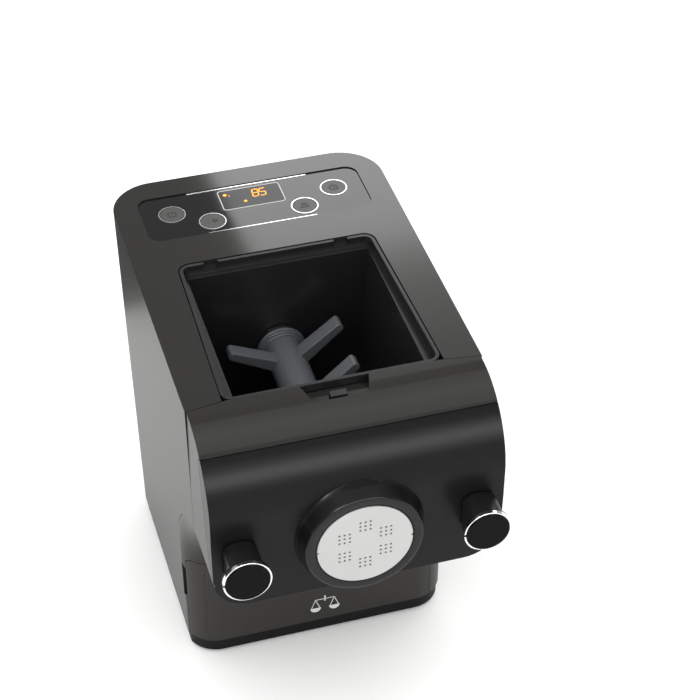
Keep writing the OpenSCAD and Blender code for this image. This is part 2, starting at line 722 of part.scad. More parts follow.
module cooling_fan() color(satin_black) {
    y = motor_y + motor_l + 4;
    difference() {
        y_rod(8, y, y + 7, 0, motor_z);
        y_rod(shaft_r, 0, far, 0, motor_z);
    }
    for (a = [0:40:320]) translate([0, y + 1, motor_z]) rotate([0, a, 0])
        translate([7, 0, -0.6]) cube([19, 5.5, 1.2]);
    difference() {
        y_rod(27, y + 0.5, y + 2, 0, motor_z);
        y_rod(7, 0, far, 0, motor_z);
    }
}

module gearbox_outline_2d(grow) {
    hull() {
        translate([0, axis_z]) circle(gear_m2 * (output_teeth / 2 + 1) + grow);
        translate([0, middle_z]) circle(gear_m1 * (wheel_teeth / 2 + 1) + grow);
    }
    hull() {
        translate([0, middle_z]) circle(20);
        translate([0, motor_z]) circle(motor_r + 2);
    }
    translate([-motor_r - 12, motor_z - 8]) square([2 * motor_r + 24, 16]);
}

bearing_r = 9;
ear_r = 5;
module gearbox_plates() color("silver") difference() {
    union() {
        along_y(plate_y0, plate_y0 + plate_t) {
            gearbox_outline_2d(6);
            for (p = gear_ears()) {
                translate(p) circle(ear_r);
                translate([p[0] > 0 ? 0 : p[0], p[1] - ear_r]) square([abs(p[0]), 2 * ear_r]);
            }
        }
        along_y(plate_y1, plate_y1 + plate_t) gearbox_outline_2d(6);
        difference() {
            along_y(plate_y0 + plate_t - eps, plate_y1 + eps) hull() {
                translate([0, axis_z]) circle(gear_m2 * (output_teeth / 2 + 1) + 6);
                translate([0, middle_z]) circle(gear_m1 * (wheel_teeth / 2 + 1) + 6);
            }
            along_y(0, far) hull() {
                translate([0, axis_z]) circle(gear_m2 * (output_teeth / 2 + 1) + 3);
                translate([0, middle_z]) circle(gear_m1 * (wheel_teeth / 2 + 1) + 3);
            }
            slab(-24, 0, 0, 24, far, motor_z + 22);
        }
    }
    y_rod(bearing_r + 4, 0, plate_y0 + plate_t + eps, 0, axis_z);
    y_rod(bearing_r, plate_y1 - eps, far, 0, axis_z);
    for (z = [middle_z, motor_z]) y_rod(bearing_r, 0, far, 0, z);
    for (s = [-1, 1]) y_rod(screw_r, 0, far, s * (motor_r + 5.5), motor_z);
    for (p = gear_ears()) y_rod(screw_r + 0.1, 0, far, p[0], p[1]);
}

module intermediate_gear() color("ghostwhite") {
    difference() {
        union() {
            spur(gear_m1, wheel_teeth, stage1_y, stage1_y + gear_t1, middle_z,
                driven_turn(wheel_teeth));
            spur(gear_m2, small_teeth, gear_y, stage1_y + eps, middle_z, 90);
        }
        for (a = [0:60:300]) translate([0, stage1_y - 1, middle_z]) rotate([0, a, 0])
            translate([22, 0, 0]) rotate([-90, 0, 0]) cylinder(r = 6, h = far);
    }
    y_rod(shaft2_r, plate_y0 + seat_gap, plate_y1 + plate_t - seat_gap, 0, middle_z);
}

// Driving gears have a tooth at the top, so driven gears have a space at the bottom
function driven_turn(teeth) = -90 + 180 / teeth;

module output_gear() color("ghostwhite") difference() {
    union() {
        spur(gear_m2, output_teeth, gear_y, gear_y + gear_t2, axis_z, driven_turn(output_teeth));
        y_rod(16, gear_y, gear_y + gear_t2 + 4);
        y_rod(shaft2_r, gear_y, plate_y1 + plate_t);
        y_rod(bearing_r - 1, tub_wall_y + seat_gap, gear_y + eps);
        // drive tongue that enters the screw's shaft
        intersection() {
            y_rod(6.2, chamber_back - 7, gear_y);
            slab(-2.4, 0, axis_z - 10, 2.4, far, axis_z + 10);
        }
    }
    for (a = [0:60:300]) translate([0, gear_y - 1, axis_z]) rotate([0, a, 0])
        translate([29, 0, 0]) rotate([-90, 0, 0]) cylinder(r = 8, h = far);
}

module ring_y(r_out, r_in, y0, y1, z) difference() {
    y_rod(r_out, y0, y1, 0, z);
    y_rod(r_in, y0 - 1, y1 + 1, 0, z);
}

module bearings() color("silver") {
    ring_y(bearing_r + 4, bearing_r - 1 + shaft_fit, plate_y0, plate_y0 + plate_t, axis_z);
    ring_y(bearing_r, shaft2_r + shaft_fit, plate_y1, plate_y1 + plate_t, axis_z);
    for (y = [plate_y0, plate_y1]) ring_y(bearing_r, shaft2_r + shaft_fit, y, y + plate_t, middle_z);
    ring_y(bearing_r, shaft_r + shaft_fit, plate_y1, plate_y1 + plate_t, motor_z);
    ring_y(8, shaft_r + shaft_fit, motor_y + motor_l - 2, motor_y + motor_l + 2, motor_z);
}

// ---------------------------------------------------------------- chamber

tub_wall_y = chamber_back + tub_t;            // rear face of the chamber's rear wall
seal_r = screw_shaft_r + 4;

module shaft_seal() color("firebrick")
    ring_y(seal_r, screw_shaft_r + shaft_fit, chamber_back, tub_wall_y, axis_z);

module mixing_chamber() color(satin_black) difference() {
    union() {
        tub_hollow(tub_t, body_h - lid_ledge);
        // rim block round the opening
        difference() {
            translate([0, 0, body_h - lid_ledge - 3]) linear_extrude(lid_ledge + 2.5) mouth_2d(rim_t);
            hood_zone(-eps);
        }
        // front lip that carries the hood
        translate([0, 0, body_h - lid_ledge - 3]) linear_extrude(lid_ledge - 1) intersection() {
            mouth_2d(rim_t);
            translate([-far / 2, -seam_y - 3]) square([far, 20]);
        }
        // raised ring round the shaft
        y_rod(seal_r + 4, chamber_back - 2, chamber_back + 1);
        // flange of the barrel's socket
        y_rod(barrel_r + barrel_t + 2, -mouth_front - 5, -chamber_foot - 1);
    }
    difference() {
        tub_hollow(0, body_h - lid_ledge + eps);
        y_rod(seal_r + 4, chamber_back - 2, chamber_back + 1);
    }
    translate([0, 0, body_h - lid_ledge]) linear_extrude(20) mouth_2d(0);
    y_rod(seal_r, chamber_back - 10, far);
    y_rod(barrel_r + barrel_t + 0.2, -far, -chamber_foot - 1 - eps);
    y_rod(barrel_r, -far, -chamber_foot + tub_t);
    // hinge notches of the lid
    for (s = [-1, 1]) slab(s * 50.5 - 5.5, mouth_back - 2, body_h - 7.5, s * 50.5 + 5.5,
        mouth_back + 2.4, body_h + 1);
}

latch_y0 = -seam_y - 18;
module latch_2d() hull() {
    translate([-25, -seam_y - 1]) square([50, 1]);
    for (s = [-1, 1]) translate([s * 17, latch_y0 + 4]) circle(4);
}

module hood_form(inset) intersection() {
    body_form(overhang_z, body_h, inset);
    along_x(body_w + 60) front_roll_2d(inset);
    along_y(-far, 0) panel_outline_2d(inset);
}

module front_cover() color(dark_grey) difference() {
    union() {
        difference() {
            intersection() {
                hood_form(0);
                hood_zone(0);
            }
            hood_form(wall);
        }
        // front wall behind the panel
        intersection() {
            hood_form(wall - eps);
            hood_zone(0);
            slab(-far, bulkhead_y - 3, 0, far, bulkhead_y, panel_top_z + 6);
        }
        // floor of the latch recess
        slab(-30, -seam_y - 22, body_h - 9, 30, -seam_y - part_gap, body_h - 7);
        for (s = [-1, 1]) {
            slab(s * 29 - 1, -seam_y - 22, body_h - 9, s * 29 + 1, -seam_y - part_gap, body_h - wall + eps);
            // sockets of the lock shafts
            y_rod(lock_r + 4, bulkhead_y - 3.5, bulkhead_y + 14, s * knob_x, knob_z);
        }
        slab(-30, -seam_y - 23, body_h - 9, 30, -seam_y - 21, body_h - wall + eps);
        y_rod(barrel_r + barrel_t + 4, bulkhead_y - 5, bulkhead_y);
    }
    panel_zone(part_gap);
    translate([0, 0, body_h - 7]) linear_extrude(20) latch_2d();
    y_rod(barrel_r + barrel_t + 0.5, -far, 0);
    for (s = [-1, 1]) y_rod(lock_r + shaft_fit, -far, bulkhead_y + 11, s * knob_x, knob_z);
    slab(-6.4, latch_block_y0 - 0.4, 250, 6.4, latch_block_y1 + 0.4, far);
    slab(-far, -seam_y - 0.4, 0, far, far, body_h - lid_ledge + 4);
}

latch_block_y0 = -seam_y - 14;
latch_block_y1 = -seam_y - 8;
plunger_travel = 3;
module lid_plunger() color(satin_black) {
    slab(-6, latch_block_y0, body_h - 12, 6, latch_block_y1, body_h - 2.5);
    slab(-9, latch_block_y0 - 1, body_h - 12, 9, latch_block_y1 + 1, body_h - 10);
    slab(-2, latch_block_y0 + 1, body_h - 22, 2, latch_block_y1 - 1, body_h - 12 + eps);
}

switch_top = body_h - 22 - plunger_travel - 0.5;
module lid_switch() color("black") {
    difference() {
        slab(-10, latch_block_y0 - 2, switch_top - 12, 10, latch_block_y1 + 2, switch_top);
        for (s = [-1, 1]) translate([s * 6, 0, switch_top - 8]) rotate([-90, 0, 0])
            cylinder(r = 1.4, h = far, center = true);
    }
    // bracket up to the underside of the recess
    for (s = [-1, 1]) slab(s * 12 - 2.2, latch_block_y0 - 2, switch_top - 12, s * 12 + 2.2,
        latch_block_y1 + 2, body_h - 9);
}

// Wire wound into a helix between z0 and z1
module coil_spring(r, wire, z0, z1, turns, steps = 10, sides = 5) {
    n = turns * steps;
    pts = [for (i = [0:n], k = [0:sides - 1]) let (a = 360 * i / steps, b = 360 * k / sides,
        rr = r + wire * cos(b)) [rr * cos(a), rr * sin(a),
        z0 + wire + (z1 - z0 - 2 * wire) * i / n + wire * sin(b)]];
    walls = [for (i = [0:n - 1], k = [0:sides - 1], half = [0, 1])
        let (a = sides * i + k, b = sides * i + (k + 1) % sides)
        half == 0 ? [b + sides, a + sides, a] : [b, b + sides, a]];
    start = [for (k = [1:sides - 2]) [k + 1, k, 0]];
    finish = [for (k = [1:sides - 2]) [sides * n + k, sides * n + k + 1, sides * n]];
    polyhedron(pts, concat(start, walls, finish), convexity = 8);
}

module plunger_spring() color("silver") for (s = [-1, 1])
    translate([s * 7.5, (latch_block_y0 + latch_block_y1) / 2, 0])
        coil_spring(1.3, 0.3, switch_top, body_h - 12 - seat_gap, 5);

// Tube from the chamber's front wall to the disc, with bayonet ears at its mouth
module extrusion_barrel() color(mid_grey) difference() {
    union() {
        y_rod(barrel_r + barrel_t, -barrel_front, -chamber_foot - 1.4);
        along_y(-barrel_front + 0.5, -barrel_front + 4.5) intersection() {
            translate([0, axis_z]) circle(barrel_r + barrel_t + 2.5);
            translate([0, axis_z]) for (a = [45, 135]) rotate(a)
                square([4 * barrel_r, 14], center = true);
        }
    }
    y_rod(barrel_r, -far, 0);
}

// ---------------------------------------------------------------- agitator

screw_end = -barrel_front + 2;
screw_back = -26;
flight_r = barrel_r - 0.7;

// One turn-by-turn flight: four points per station, joined into a closed band
function flight_ring(y, a, r0, r1, t0, t1) = [
    [r0 * cos(a), y - t0 / 2, r0 * sin(a)], [r1 * cos(a), y - t1 / 2, r1 * sin(a)],
    [r1 * cos(a), y + t1 / 2, r1 * sin(a)], [r0 * cos(a), y + t0 / 2, r0 * sin(a)]];

module flight(y0, y1, pitch, r0, r1, t0, t1, step = 15) {
    n = ceil((y1 - y0) / pitch * 360 / step);
    pts = [for (i = [0:n], p = flight_ring(y0 + (y1 - y0) * i / n,
        (y1 - y0) / pitch * 360 * i / n, r0, r1, t0, t1)) p];
    sides = [for (i = [0:n - 1], k = [0:3], half = [0, 1])
        let (a = 4 * i + k, b = 4 * i + (k + 1) % 4)
        half == 0 ? [a, a + 4, b + 4] : [a, b + 4, b]];
    e = 4 * n;
    translate([0, 0, axis_z]) polyhedron(pts, concat([[0, 1, 2], [0, 2, 3]], sides,
        [[e + 2, e + 1, e], [e + 3, e + 2, e]]), convexity = 8);
}

module extrusion_screw() color(mid_grey) difference() {
    union() {
        y_rod(screw_shaft_r, screw_end, tub_wall_y);
        flight(screw_end + 3, screw_back - 4, screw_pitch, screw_shaft_r - 2, flight_r, 8, 3.5);
        y_cone(6, screw_shaft_r, screw_end - 2, screw_end);
        paddle_key();
    }
    // slot for the drive tongue
    slab(-2.7, chamber_back - 7.5, axis_z - 6.6, 2.7, far, axis_z + 6.6);
}

// Key on the screw's shaft that turns the paddle
module paddle_key(play = 0) slab(-2 - play, screw_back + 12, axis_z, 2 + play,
    chamber_back - 12, axis_z + screw_shaft_r + 2 + play);

rear_arms = [144, 44, 266];
front_arms = [41, 221];

// One arm: a flat blade along Y with a round root and a bevelled outer end
module arm(angle, y0, y1, reach) translate([0, 0, axis_z]) rotate([0, -angle, 0])
    translate([0, 0, -axis_z]) {
        along_y(y0, y1) polygon([[screw_shaft_r + 2, axis_z - 7], [screw_shaft_r + 2, axis_z + 7],
            [reach - 5, axis_z + 3.5], [reach, axis_z - 1], [reach - 1, axis_z - 4]]);
        along_y(y0 - 6, y1 + 6) polygon([[reach - 12, axis_z - 3.8], [reach - 12, axis_z + 3.9],
            [reach - 5, axis_z + 3.5], [reach, axis_z - 1], [reach - 1, axis_z - 4]]);
    }

module mixing_paddle() color(mid_grey) {
    reach = bowl_r - 2;
    difference() {
        union() {
            y_rod(screw_shaft_r + 4.5, screw_back + 1, chamber_back - 3);
            y_rod(seal_r + 2, chamber_back - 8, chamber_back - 2.5);
            for (a = rear_arms) arm(a, chamber_back - 32, chamber_back - 12, reach);
            for (a = front_arms) arm(a, screw_back + 3, screw_back + 21, reach);
        }
        y_rod(screw_shaft_r + 0.1, -far / 2, far / 2);
        paddle_key(0.1);
    }
}

// ---------------------------------------------------------------- front panel

module nose_solid() {
    y_cone(nose_rim_r, nose_base_r, -disc_front + 0.5, -panel_front + 3);
    y_rod(nose_base_r, -panel_front + 3 - eps, -panel_front + 6);
}

module front_panel() color(gloss_black) difference() {
    union() {
        difference() {
            intersection() {
                hood_form(0);
                panel_zone(0);
            }
            hood_form(panel_t);
        }
        nose_solid();
        // collar that guides each lock shaft
        for (s = [-1, 1]) y_rod(lock_r + 4.5, -panel_front + 1.5, clip_y - clip_t, s * knob_x, knob_z);
        // ribs behind the face
        intersection() {
            hood_form(panel_t - eps);
            panel_zone(0);
            for (x = [-62, 62]) slab(x - 1, -far, overhang_z + 6, x + 1, -panel_front + 9, 262);
        }
    }
    // seat of the disc and room for the barrel's mouth
    y_rod(disc_r + 0.4, -far, 0);
    y_rod(disc_r + 3.4, -disc_front + disc_t + 0.3, 0);
    for (s = [-1, 1]) y_rod(lock_r + shaft_fit, -far, 0, s * knob_x, knob_z);
}

module disc_solid() {
    y_rod(disc_r, -disc_front, -disc_front + disc_t + eps);
    y_rod(disc_r + 3, -disc_front + disc_t + 0.4, -disc_front + disc_t + 3.6);
    y_rod(disc_r, -disc_front + disc_t - eps, -disc_front + disc_t + 1);
}

module shaping_disc() color(light_grey) difference() {
    disc_solid();
    y_cone(barrel_r - 8, barrel_r - 1.5, -disc_front + 2.2, -disc_front + disc_t + 3.7);
    for (g = [0:5], i = [-1:1], k = [-1:1]) y_rod(hole_r, -far, 0,
        hole_ring_r * sin(60 * g) + i * hole_pitch,
        axis_z + hole_ring_r * cos(60 * g) + k * hole_pitch);
    for (s = [-1, 1]) y_rod(1.2, -disc_front - 1, -disc_front + 1.5, s * disc_r, axis_z);
}

// ---------------------------------------------------------------- knobs

cap_t = 1.2;
ring_l = 3;
module knob(s) color(satin_black) translate([s * knob_x, 0, knob_z]) difference() {
    union() {
        // flat grip that flares into the round face
        intersection() {
            y_rod(knob_r, -knob_front + 5, -panel_front - 1.2, 0, 0);
            along_y(-far, 0) polygon([[-grip_half_w, -knob_r], [grip_half_w, -knob_r],
                [grip_half_w, knob_r], [-grip_half_w, knob_r]]);
        }
        y_cone(knob_r, grip_half_w, -knob_front + 5, -knob_front + 11, 0, 0);
        y_rod(knob_r, -knob_front + 4, -knob_front + 5 + eps, 0, 0);
        y_rod(knob_r - 1.6, -knob_front + cap_t, -knob_front + 4 + eps, 0, 0);
    }
    y_rod(groove_r, -knob_front + 8, 0, 0, 0);
}
module left_knob() knob(-1);
module right_knob() knob(1);

module knob_ring(s) color("silver") translate([s * knob_x, 0, knob_z]) difference() {
    y_rod(knob_r, -knob_front + 1, -knob_front + 4, 0, 0);
    y_rod(knob_r - 1.5, -far, 0, 0, 0);
    // pointer gap at nine o'clock
    slab(-far, -far, -0.9, 0, 0, 0.9);
}
module left_knob_ring() knob_ring(-1);
module right_knob_ring() knob_ring(1);

module knob_cap(s) color(gloss_black)
    y_rod(knob_r - 1.6, -knob_front, -knob_front + cap_t, s * knob_x, knob_z);
module left_knob_cap() knob_cap(-1);
module right_knob_cap() knob_cap(1);

clip_t = 1;
clip_y = bulkhead_y - 3.5 - 2.2;              // front face of the retaining clips
groove_r = lock_r - 1;

// Lock shaft with a flat at its end and a groove for its clip
module lock_shaft(s) color("silver") translate([s * knob_x, 0, knob_z]) difference() {
    union() {
        y_rod(lock_r, -panel_front - 1.2, bulkhead_y + 9, 0, 0);
        y_rod(groove_r, -knob_front + 8, -panel_front - 1, 0, 0);
    }
    slab(-far, bulkhead_y + 2, lock_r - 2, far, far, far);
    difference() {
        y_rod(lock_r + 1, clip_y - seat_gap, clip_y + clip_t + seat_gap, 0, 0);
        y_rod(groove_r, -far, far, 0, 0);
    }
}
module left_lock_shaft() lock_shaft(-1);
module right_lock_shaft() lock_shaft(1);

module lock_clips() color("silver") for (s = [-1, 1]) translate([s * knob_x, 0, knob_z]) difference() {
    y_rod(lock_r + 2, clip_y, clip_y + clip_t, 0, 0);
    y_rod(groove_r + 0.1, -far, far, 0, 0);
    slab(-2.5, -far, 0, 2.5, 0, 20);
}

// ---------------------------------------------------------------- drawer

// Side view of the drawer front, with its round upper rear corner
module drawer_side_2d(gap) polygon(concat([[-far, 0], [-drawer_edge, 0]],
    arc([-drawer_edge - drawer_corner_r - gap, drawer_top - drawer_corner_r],
        drawer_corner_r + gap, 0, 90, 8), [[-far, drawer_top + gap]]));
drawer_corner_r = 8;
tray_y0 = -base_front + wall;                 // front of the tray, behind the drawer front
tray_y1 = -base_front + tray_l;
tray_top = drawer_top - 12;

module storage_drawer() color(dark_grey) {
    difference() {
        intersection() {
            body_form(drawer_z, drawer_top);
            translate([0, -part_gap, 0]) along_x(2 * body_w) drawer_side_2d(0);
        }
        difference() {
            body_form(0, drawer_top - wall, wall);
            slab(-far / 2, -far / 2, 0, far / 2, tray_y0 + 3, drawer_z + wall);
        }
    }
    difference() {
        slab(-tray_half_w, tray_y0 - eps, drawer_z, tray_half_w, tray_y1, tray_top);
        slab(-tray_half_w + tray_t, tray_y0 + tray_t, drawer_z + tray_t,
            tray_half_w - tray_t, tray_y1 - tray_t, far);
    }
    // rack that keeps the spare discs upright
    for (i = [0:2], y = [spare_y(i) - rack_t - seat_gap, spare_y(i) + disc_t + 3.6 + seat_gap])
        slab(spare_x - 22, y, drawer_z + tray_t - eps, spare_x + 22, y + rack_t, drawer_z + tray_t + 12);
}

rack_t = 1.6;
spare_x = -50;
function spare_y(i) = -base_front + 24 + i * 16;

// Three discs stand in the tray one behind the other
module spare_discs() color(light_grey) for (i = [0:2]) {
    y = spare_y(i);
    z = drawer_z + tray_t + disc_r + 3;
    x = spare_x;
    difference() {
        union() {
            y_rod(disc_r, y, y + disc_t + 0.4 + eps, x, z);
            y_rod(disc_r + 3, y + disc_t + 0.4, y + disc_t + 3.6, x, z);
        }
        if (i == 0) for (a = [0:45:315]) y_rod(3, -far, far, x + 18 * cos(a), z + 18 * sin(a));
        if (i == 1) for (k = [-2:2]) slab(x - 16, -far, z + 7 * k - 1, x + 16, far, z + 7 * k + 1);
        if (i == 2) slab(x - 24, -far, z - 0.8, x + 24, far, z + 0.8);
    }
}

// ---------------------------------------------------------------- fasteners

// Screw with its head's outer face at the origin, pointing up, with a cross recess
module screw(l) difference() {
    union() {
        cylinder(r = screw_head_r, h = screw_head_h);
        cylinder(r = screw_r - screw_play, h = screw_head_h + l);
    }
    for (a = [0, 90]) rotate(a) translate([-2, -0.4, -eps]) cube([4, 0.8, 1]);
}

module housing_screws() color("dimgray") for (p = frame_feet())
    translate([p[0], p[1], foot_h + 0.3]) screw(plinth_z - foot_h);

// Two screws hold the motor and four hold the gearbox on the frame
module drive_screws() color("dimgray") {
    for (s = [-1, 1]) translate([s * (motor_r + 5.5), motor_y + 3 + screw_head_h, motor_z])
        rotate([90, 0, 0]) screw(plate_t + 6);
    for (p = gear_ears()) translate([p[0], plate_y0 + plate_t + screw_head_h, p[1]])
        rotate([90, 0, 0]) screw(plate_t + frame_t - seat_gap);
}

base_plate();
rubber_feet();
load_cells();
main_housing();
inner_frame();
top_cover();
control_panel();
display_window();
display_module();
power_button();
program_button();
timer_button();
scale_button();
button_rings();
control_board();
board_screws();
key_switches();
power_board();
ribbon_cable();
cord_gland();
motor_can();
motor_stator();
motor_rotor();
motor_pinion();
cooling_fan();
gearbox_plates();
intermediate_gear();
output_gear();
bearings();
shaft_seal();
mixing_chamber();
front_cover();
extrusion_barrel();
lid_plunger();
plunger_spring();
lid_switch();
mixing_paddle();
extrusion_screw();
front_panel();
shaping_disc();
left_knob();
right_knob();
left_knob_ring();
right_knob_ring();
left_knob_cap();
right_knob_cap();
left_lock_shaft();
right_lock_shaft();
lock_clips();
storage_drawer();
spare_discs();
housing_screws();
drive_screws();
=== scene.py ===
"""Looks of an electric pasta maker: finishes, edge rounding, printed marks, stage and camera."""

import json
import math

import bmesh
import bpy
from bpy.props import FloatProperty, FloatVectorProperty, PointerProperty
from mathutils import Matrix, Vector


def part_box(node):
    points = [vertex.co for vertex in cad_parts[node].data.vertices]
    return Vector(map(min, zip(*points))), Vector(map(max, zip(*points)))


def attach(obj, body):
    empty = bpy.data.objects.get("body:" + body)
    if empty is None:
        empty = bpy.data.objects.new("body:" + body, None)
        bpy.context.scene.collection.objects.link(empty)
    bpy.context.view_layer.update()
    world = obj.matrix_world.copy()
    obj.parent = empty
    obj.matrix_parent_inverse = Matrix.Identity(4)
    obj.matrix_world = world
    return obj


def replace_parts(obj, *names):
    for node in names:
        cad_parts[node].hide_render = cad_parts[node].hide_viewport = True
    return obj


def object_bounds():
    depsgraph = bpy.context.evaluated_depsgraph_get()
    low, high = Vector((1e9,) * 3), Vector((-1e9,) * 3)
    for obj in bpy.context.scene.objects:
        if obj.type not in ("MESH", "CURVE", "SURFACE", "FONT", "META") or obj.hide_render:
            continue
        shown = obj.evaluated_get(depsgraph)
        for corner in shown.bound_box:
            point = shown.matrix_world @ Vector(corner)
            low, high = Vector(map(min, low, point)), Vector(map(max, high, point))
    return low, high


bl_info = {
    "name": "Pasta maker looks",
    "version": (1, 0, 0),
    "blender": (4, 5, 0),
    "location": "View3D > Sidebar > Pasta maker",
    "description": "Dresses the pasta maker with finishes, marks, stage and camera",
    "category": "Object",
}

MM = 0.001
CRISP_ANGLE = math.radians(35)  # edges that bend more than this are rounded
WELD_DISTANCE = 0.002 * MM      # points closer than this are one
MATCH_STEP = 0.01 * MM          # points that agree to this are the same
TONE_SPREAD = 0.06              # drift of a moulded surface round its mean tone
SIDEWAYS = 0.8                  # a face whose normal points further sideways is a side
BUTTONS = "power_button program_button timer_button scale_button"

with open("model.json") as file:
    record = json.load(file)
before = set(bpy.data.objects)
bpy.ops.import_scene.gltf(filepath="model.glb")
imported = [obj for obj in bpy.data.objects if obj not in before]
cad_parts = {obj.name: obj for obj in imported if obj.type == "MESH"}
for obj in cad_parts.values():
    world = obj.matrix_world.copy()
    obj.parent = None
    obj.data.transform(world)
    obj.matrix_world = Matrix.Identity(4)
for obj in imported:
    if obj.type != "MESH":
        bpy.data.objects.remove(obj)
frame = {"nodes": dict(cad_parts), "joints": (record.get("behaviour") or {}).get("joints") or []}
cad_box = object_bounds()


# ---------------------------------------------------------------- small tools

def linear(hex_colour):
    """sRGB hex to linear RGB."""
    channels = [int(hex_colour[i:i + 2], 16) / 255 for i in (0, 2, 4)]
    return tuple(c / 12.92 if c <= 0.04045 else ((c + 0.055) / 1.055) ** 2.4 for c in channels)


def colour_property(name, description, hex_colour):
    return FloatVectorProperty(name=name, description=description, subtype="COLOR",
                               size=3, min=0, max=1, default=linear(hex_colour))


def length_property(name, description, millimetres):
    return FloatProperty(name=name, description=description, subtype="DISTANCE",
                         unit="LENGTH", min=0, default=millimetres * MM)


def strength_property(name, description, strength, subtype="NONE"):
    return FloatProperty(name=name, description=description, subtype=subtype, min=0,
                         default=strength)


def link_object(name, data):
    """Makes an object of its data and puts it into the scene."""
    made = bpy.data.objects.new(name, data)
    bpy.context.scene.collection.objects.link(made)
    return made


def add_node(tree, kind, settings=None, values=None, links=None):
    """Adds a node, sets its properties and socket values, and links sockets to other outputs."""
    node = tree.nodes.new(kind)
    for key, value in (settings or {}).items():
        setattr(node, key, value)
    for key, value in (values or {}).items():
        node.inputs[key].default_value = value
    for key, (source, output) in (links or {}).items():
        tree.links.new(source.outputs[output], node.inputs[key])
    return node


def new_material(name):
    material = bpy.data.materials.new(name)
    material.use_nodes = True
    material.node_tree.nodes.clear()
    return material, material.node_tree


def rgba(colour):
    return (*colour[:3], 1)


def finish_material(tree, shader, output="BSDF"):
    add_node(tree, "ShaderNodeOutputMaterial", links={"Surface": (shader, output)})


# ---------------------------------------------------------------- materials

def moulded_plastic(name, colour, roughness, grain_mm, grain_height_mm, specular=0.5):
    """Injection moulded plastic: a fine spark-eroded grain and a faint drift of tone."""
    material, tree = new_material(name)
    place = add_node(tree, "ShaderNodeTexCoord")
    grain = add_node(tree, "ShaderNodeTexNoise",
                     values={"Scale": 1 / (grain_mm * MM), "Detail": 2},
                     links={"Vector": (place, "Object")})
    drift = add_node(tree, "ShaderNodeTexNoise", values={"Scale": 1 / (60 * MM), "Detail": 3},
                     links={"Vector": (place, "Object")})
    tone = add_node(tree, "ShaderNodeMix", {"data_type": "RGBA"},
                    {6: rgba([c * (1 - TONE_SPREAD) for c in colour]),
                     7: rgba([min(1, c * (1 + TONE_SPREAD)) for c in colour])},
                    {0: (drift, "Fac")})
    sheen = add_node(tree, "ShaderNodeMapRange",
                     values={"To Min": roughness * 0.92, "To Max": min(1, roughness * 1.08)},
                     links={"Value": (grain, "Fac")})
    relief = add_node(tree, "ShaderNodeBump",
                      values={"Strength": 0.5, "Distance": grain_height_mm * MM},
                      links={"Height": (grain, "Fac")})
    shader = add_node(tree, "ShaderNodeBsdfPrincipled",
                      values={"Specular IOR Level": specular, "IOR": 1.53},
                      links={"Base Color": (tone, 2), "Roughness": (sheen, "Result"),
                             "Normal": (relief, "Normal")})
    finish_material(tree, shader)
    return material


def plated_metal(name, colour, roughness, streak_mm):
    """Bright plated or turned metal: thin streaks that stretch the highlights a little."""
    material, tree = new_material(name)
    place = add_node(tree, "ShaderNodeTexCoord")
    stretch = add_node(tree, "ShaderNodeMapping", values={"Scale": (1, 1, 8)},
                       links={"Vector": (place, "Object")})
    streak = add_node(tree, "ShaderNodeTexNoise",
                      values={"Scale": 1 / (streak_mm * MM), "Detail": 3},
                      links={"Vector": (stretch, "Vector")})
    sheen = add_node(tree, "ShaderNodeMapRange",
                     values={"To Min": roughness * 0.7, "To Max": roughness * 1.4},
                     links={"Value": (streak, "Fac")})
    relief = add_node(tree, "ShaderNodeBump", values={"Strength": 0.15, "Distance": 0.01 * MM},
                      links={"Height": (streak, "Fac")})
    shader = add_node(tree, "ShaderNodeBsdfPrincipled",
                      values={"Base Color": rgba(colour), "Metallic": 1},
                      links={"Roughness": (sheen, "Result"), "Normal": (relief, "Normal")})
    finish_material(tree, shader)
    return material


def smoked_lens(name, colour):
    """Smoked clear acrylic over the display, with a faint haze."""
    material, tree = new_material(name)
    place = add_node(tree, "ShaderNodeTexCoord")
    haze = add_node(tree, "ShaderNodeTexNoise", values={"Scale": 1 / (9 * MM), "Detail": 2},
                    links={"Vector": (place, "Object")})
    sheen = add_node(tree, "ShaderNodeMapRange", values={"To Min": 0.05, "To Max": 0.12},
                     links={"Value": (haze, "Fac")})
    shader = add_node(tree, "ShaderNodeBsdfPrincipled",
                      values={"Base Color": rgba(colour), "IOR": 1.49, "Specular IOR Level": 0.3},
                      links={"Roughness": (sheen, "Result")})
    finish_material(tree, shader)
    return material


def lit_segments(name, colour, strength):
    """Light-emitting diodes behind an orange diffuser, a little brighter in the middle."""
    material, tree = new_material(name)
    place = add_node(tree, "ShaderNodeTexCoord")
    mottle = add_node(tree, "ShaderNodeTexNoise", values={"Scale": 1 / (1.5 * MM)},
                      links={"Vector": (place, "Object")})
    power = add_node(tree, "ShaderNodeMapRange",
                     values={"To Min": strength * 0.85, "To Max": strength * 1.15},
                     links={"Value": (mottle, "Fac")})
    shader = add_node(tree, "ShaderNodeBsdfPrincipled",
                      values={"Base Color": rgba(colour), "Emission Color": rgba(colour),
                              "Roughness": 0.4},
                      links={"Emission Strength": (power, "Result")})
    finish_material(tree, shader)
    return material


def printed_ink(name, colour, roughness=0.5):
    """Pad-printed ink: flat, with the slightly uneven cover of a thin print."""
    material, tree = new_material(name)
    place = add_node(tree, "ShaderNodeTexCoord")
    cover = add_node(tree, "ShaderNodeTexNoise", values={"Scale": 1 / (0.5 * MM), "Detail": 2},
                     links={"Vector": (place, "Object")})
    tone = add_node(tree, "ShaderNodeMix", {"data_type": "RGBA"},
                    {6: rgba([c * 0.86 for c in colour]), 7: rgba(colour)}, {0: (cover, "Fac")})
    shader = add_node(tree, "ShaderNodeBsdfPrincipled", values={"Roughness": roughness},
                      links={"Base Color": (tone, 2)})
    finish_material(tree, shader)
    return material


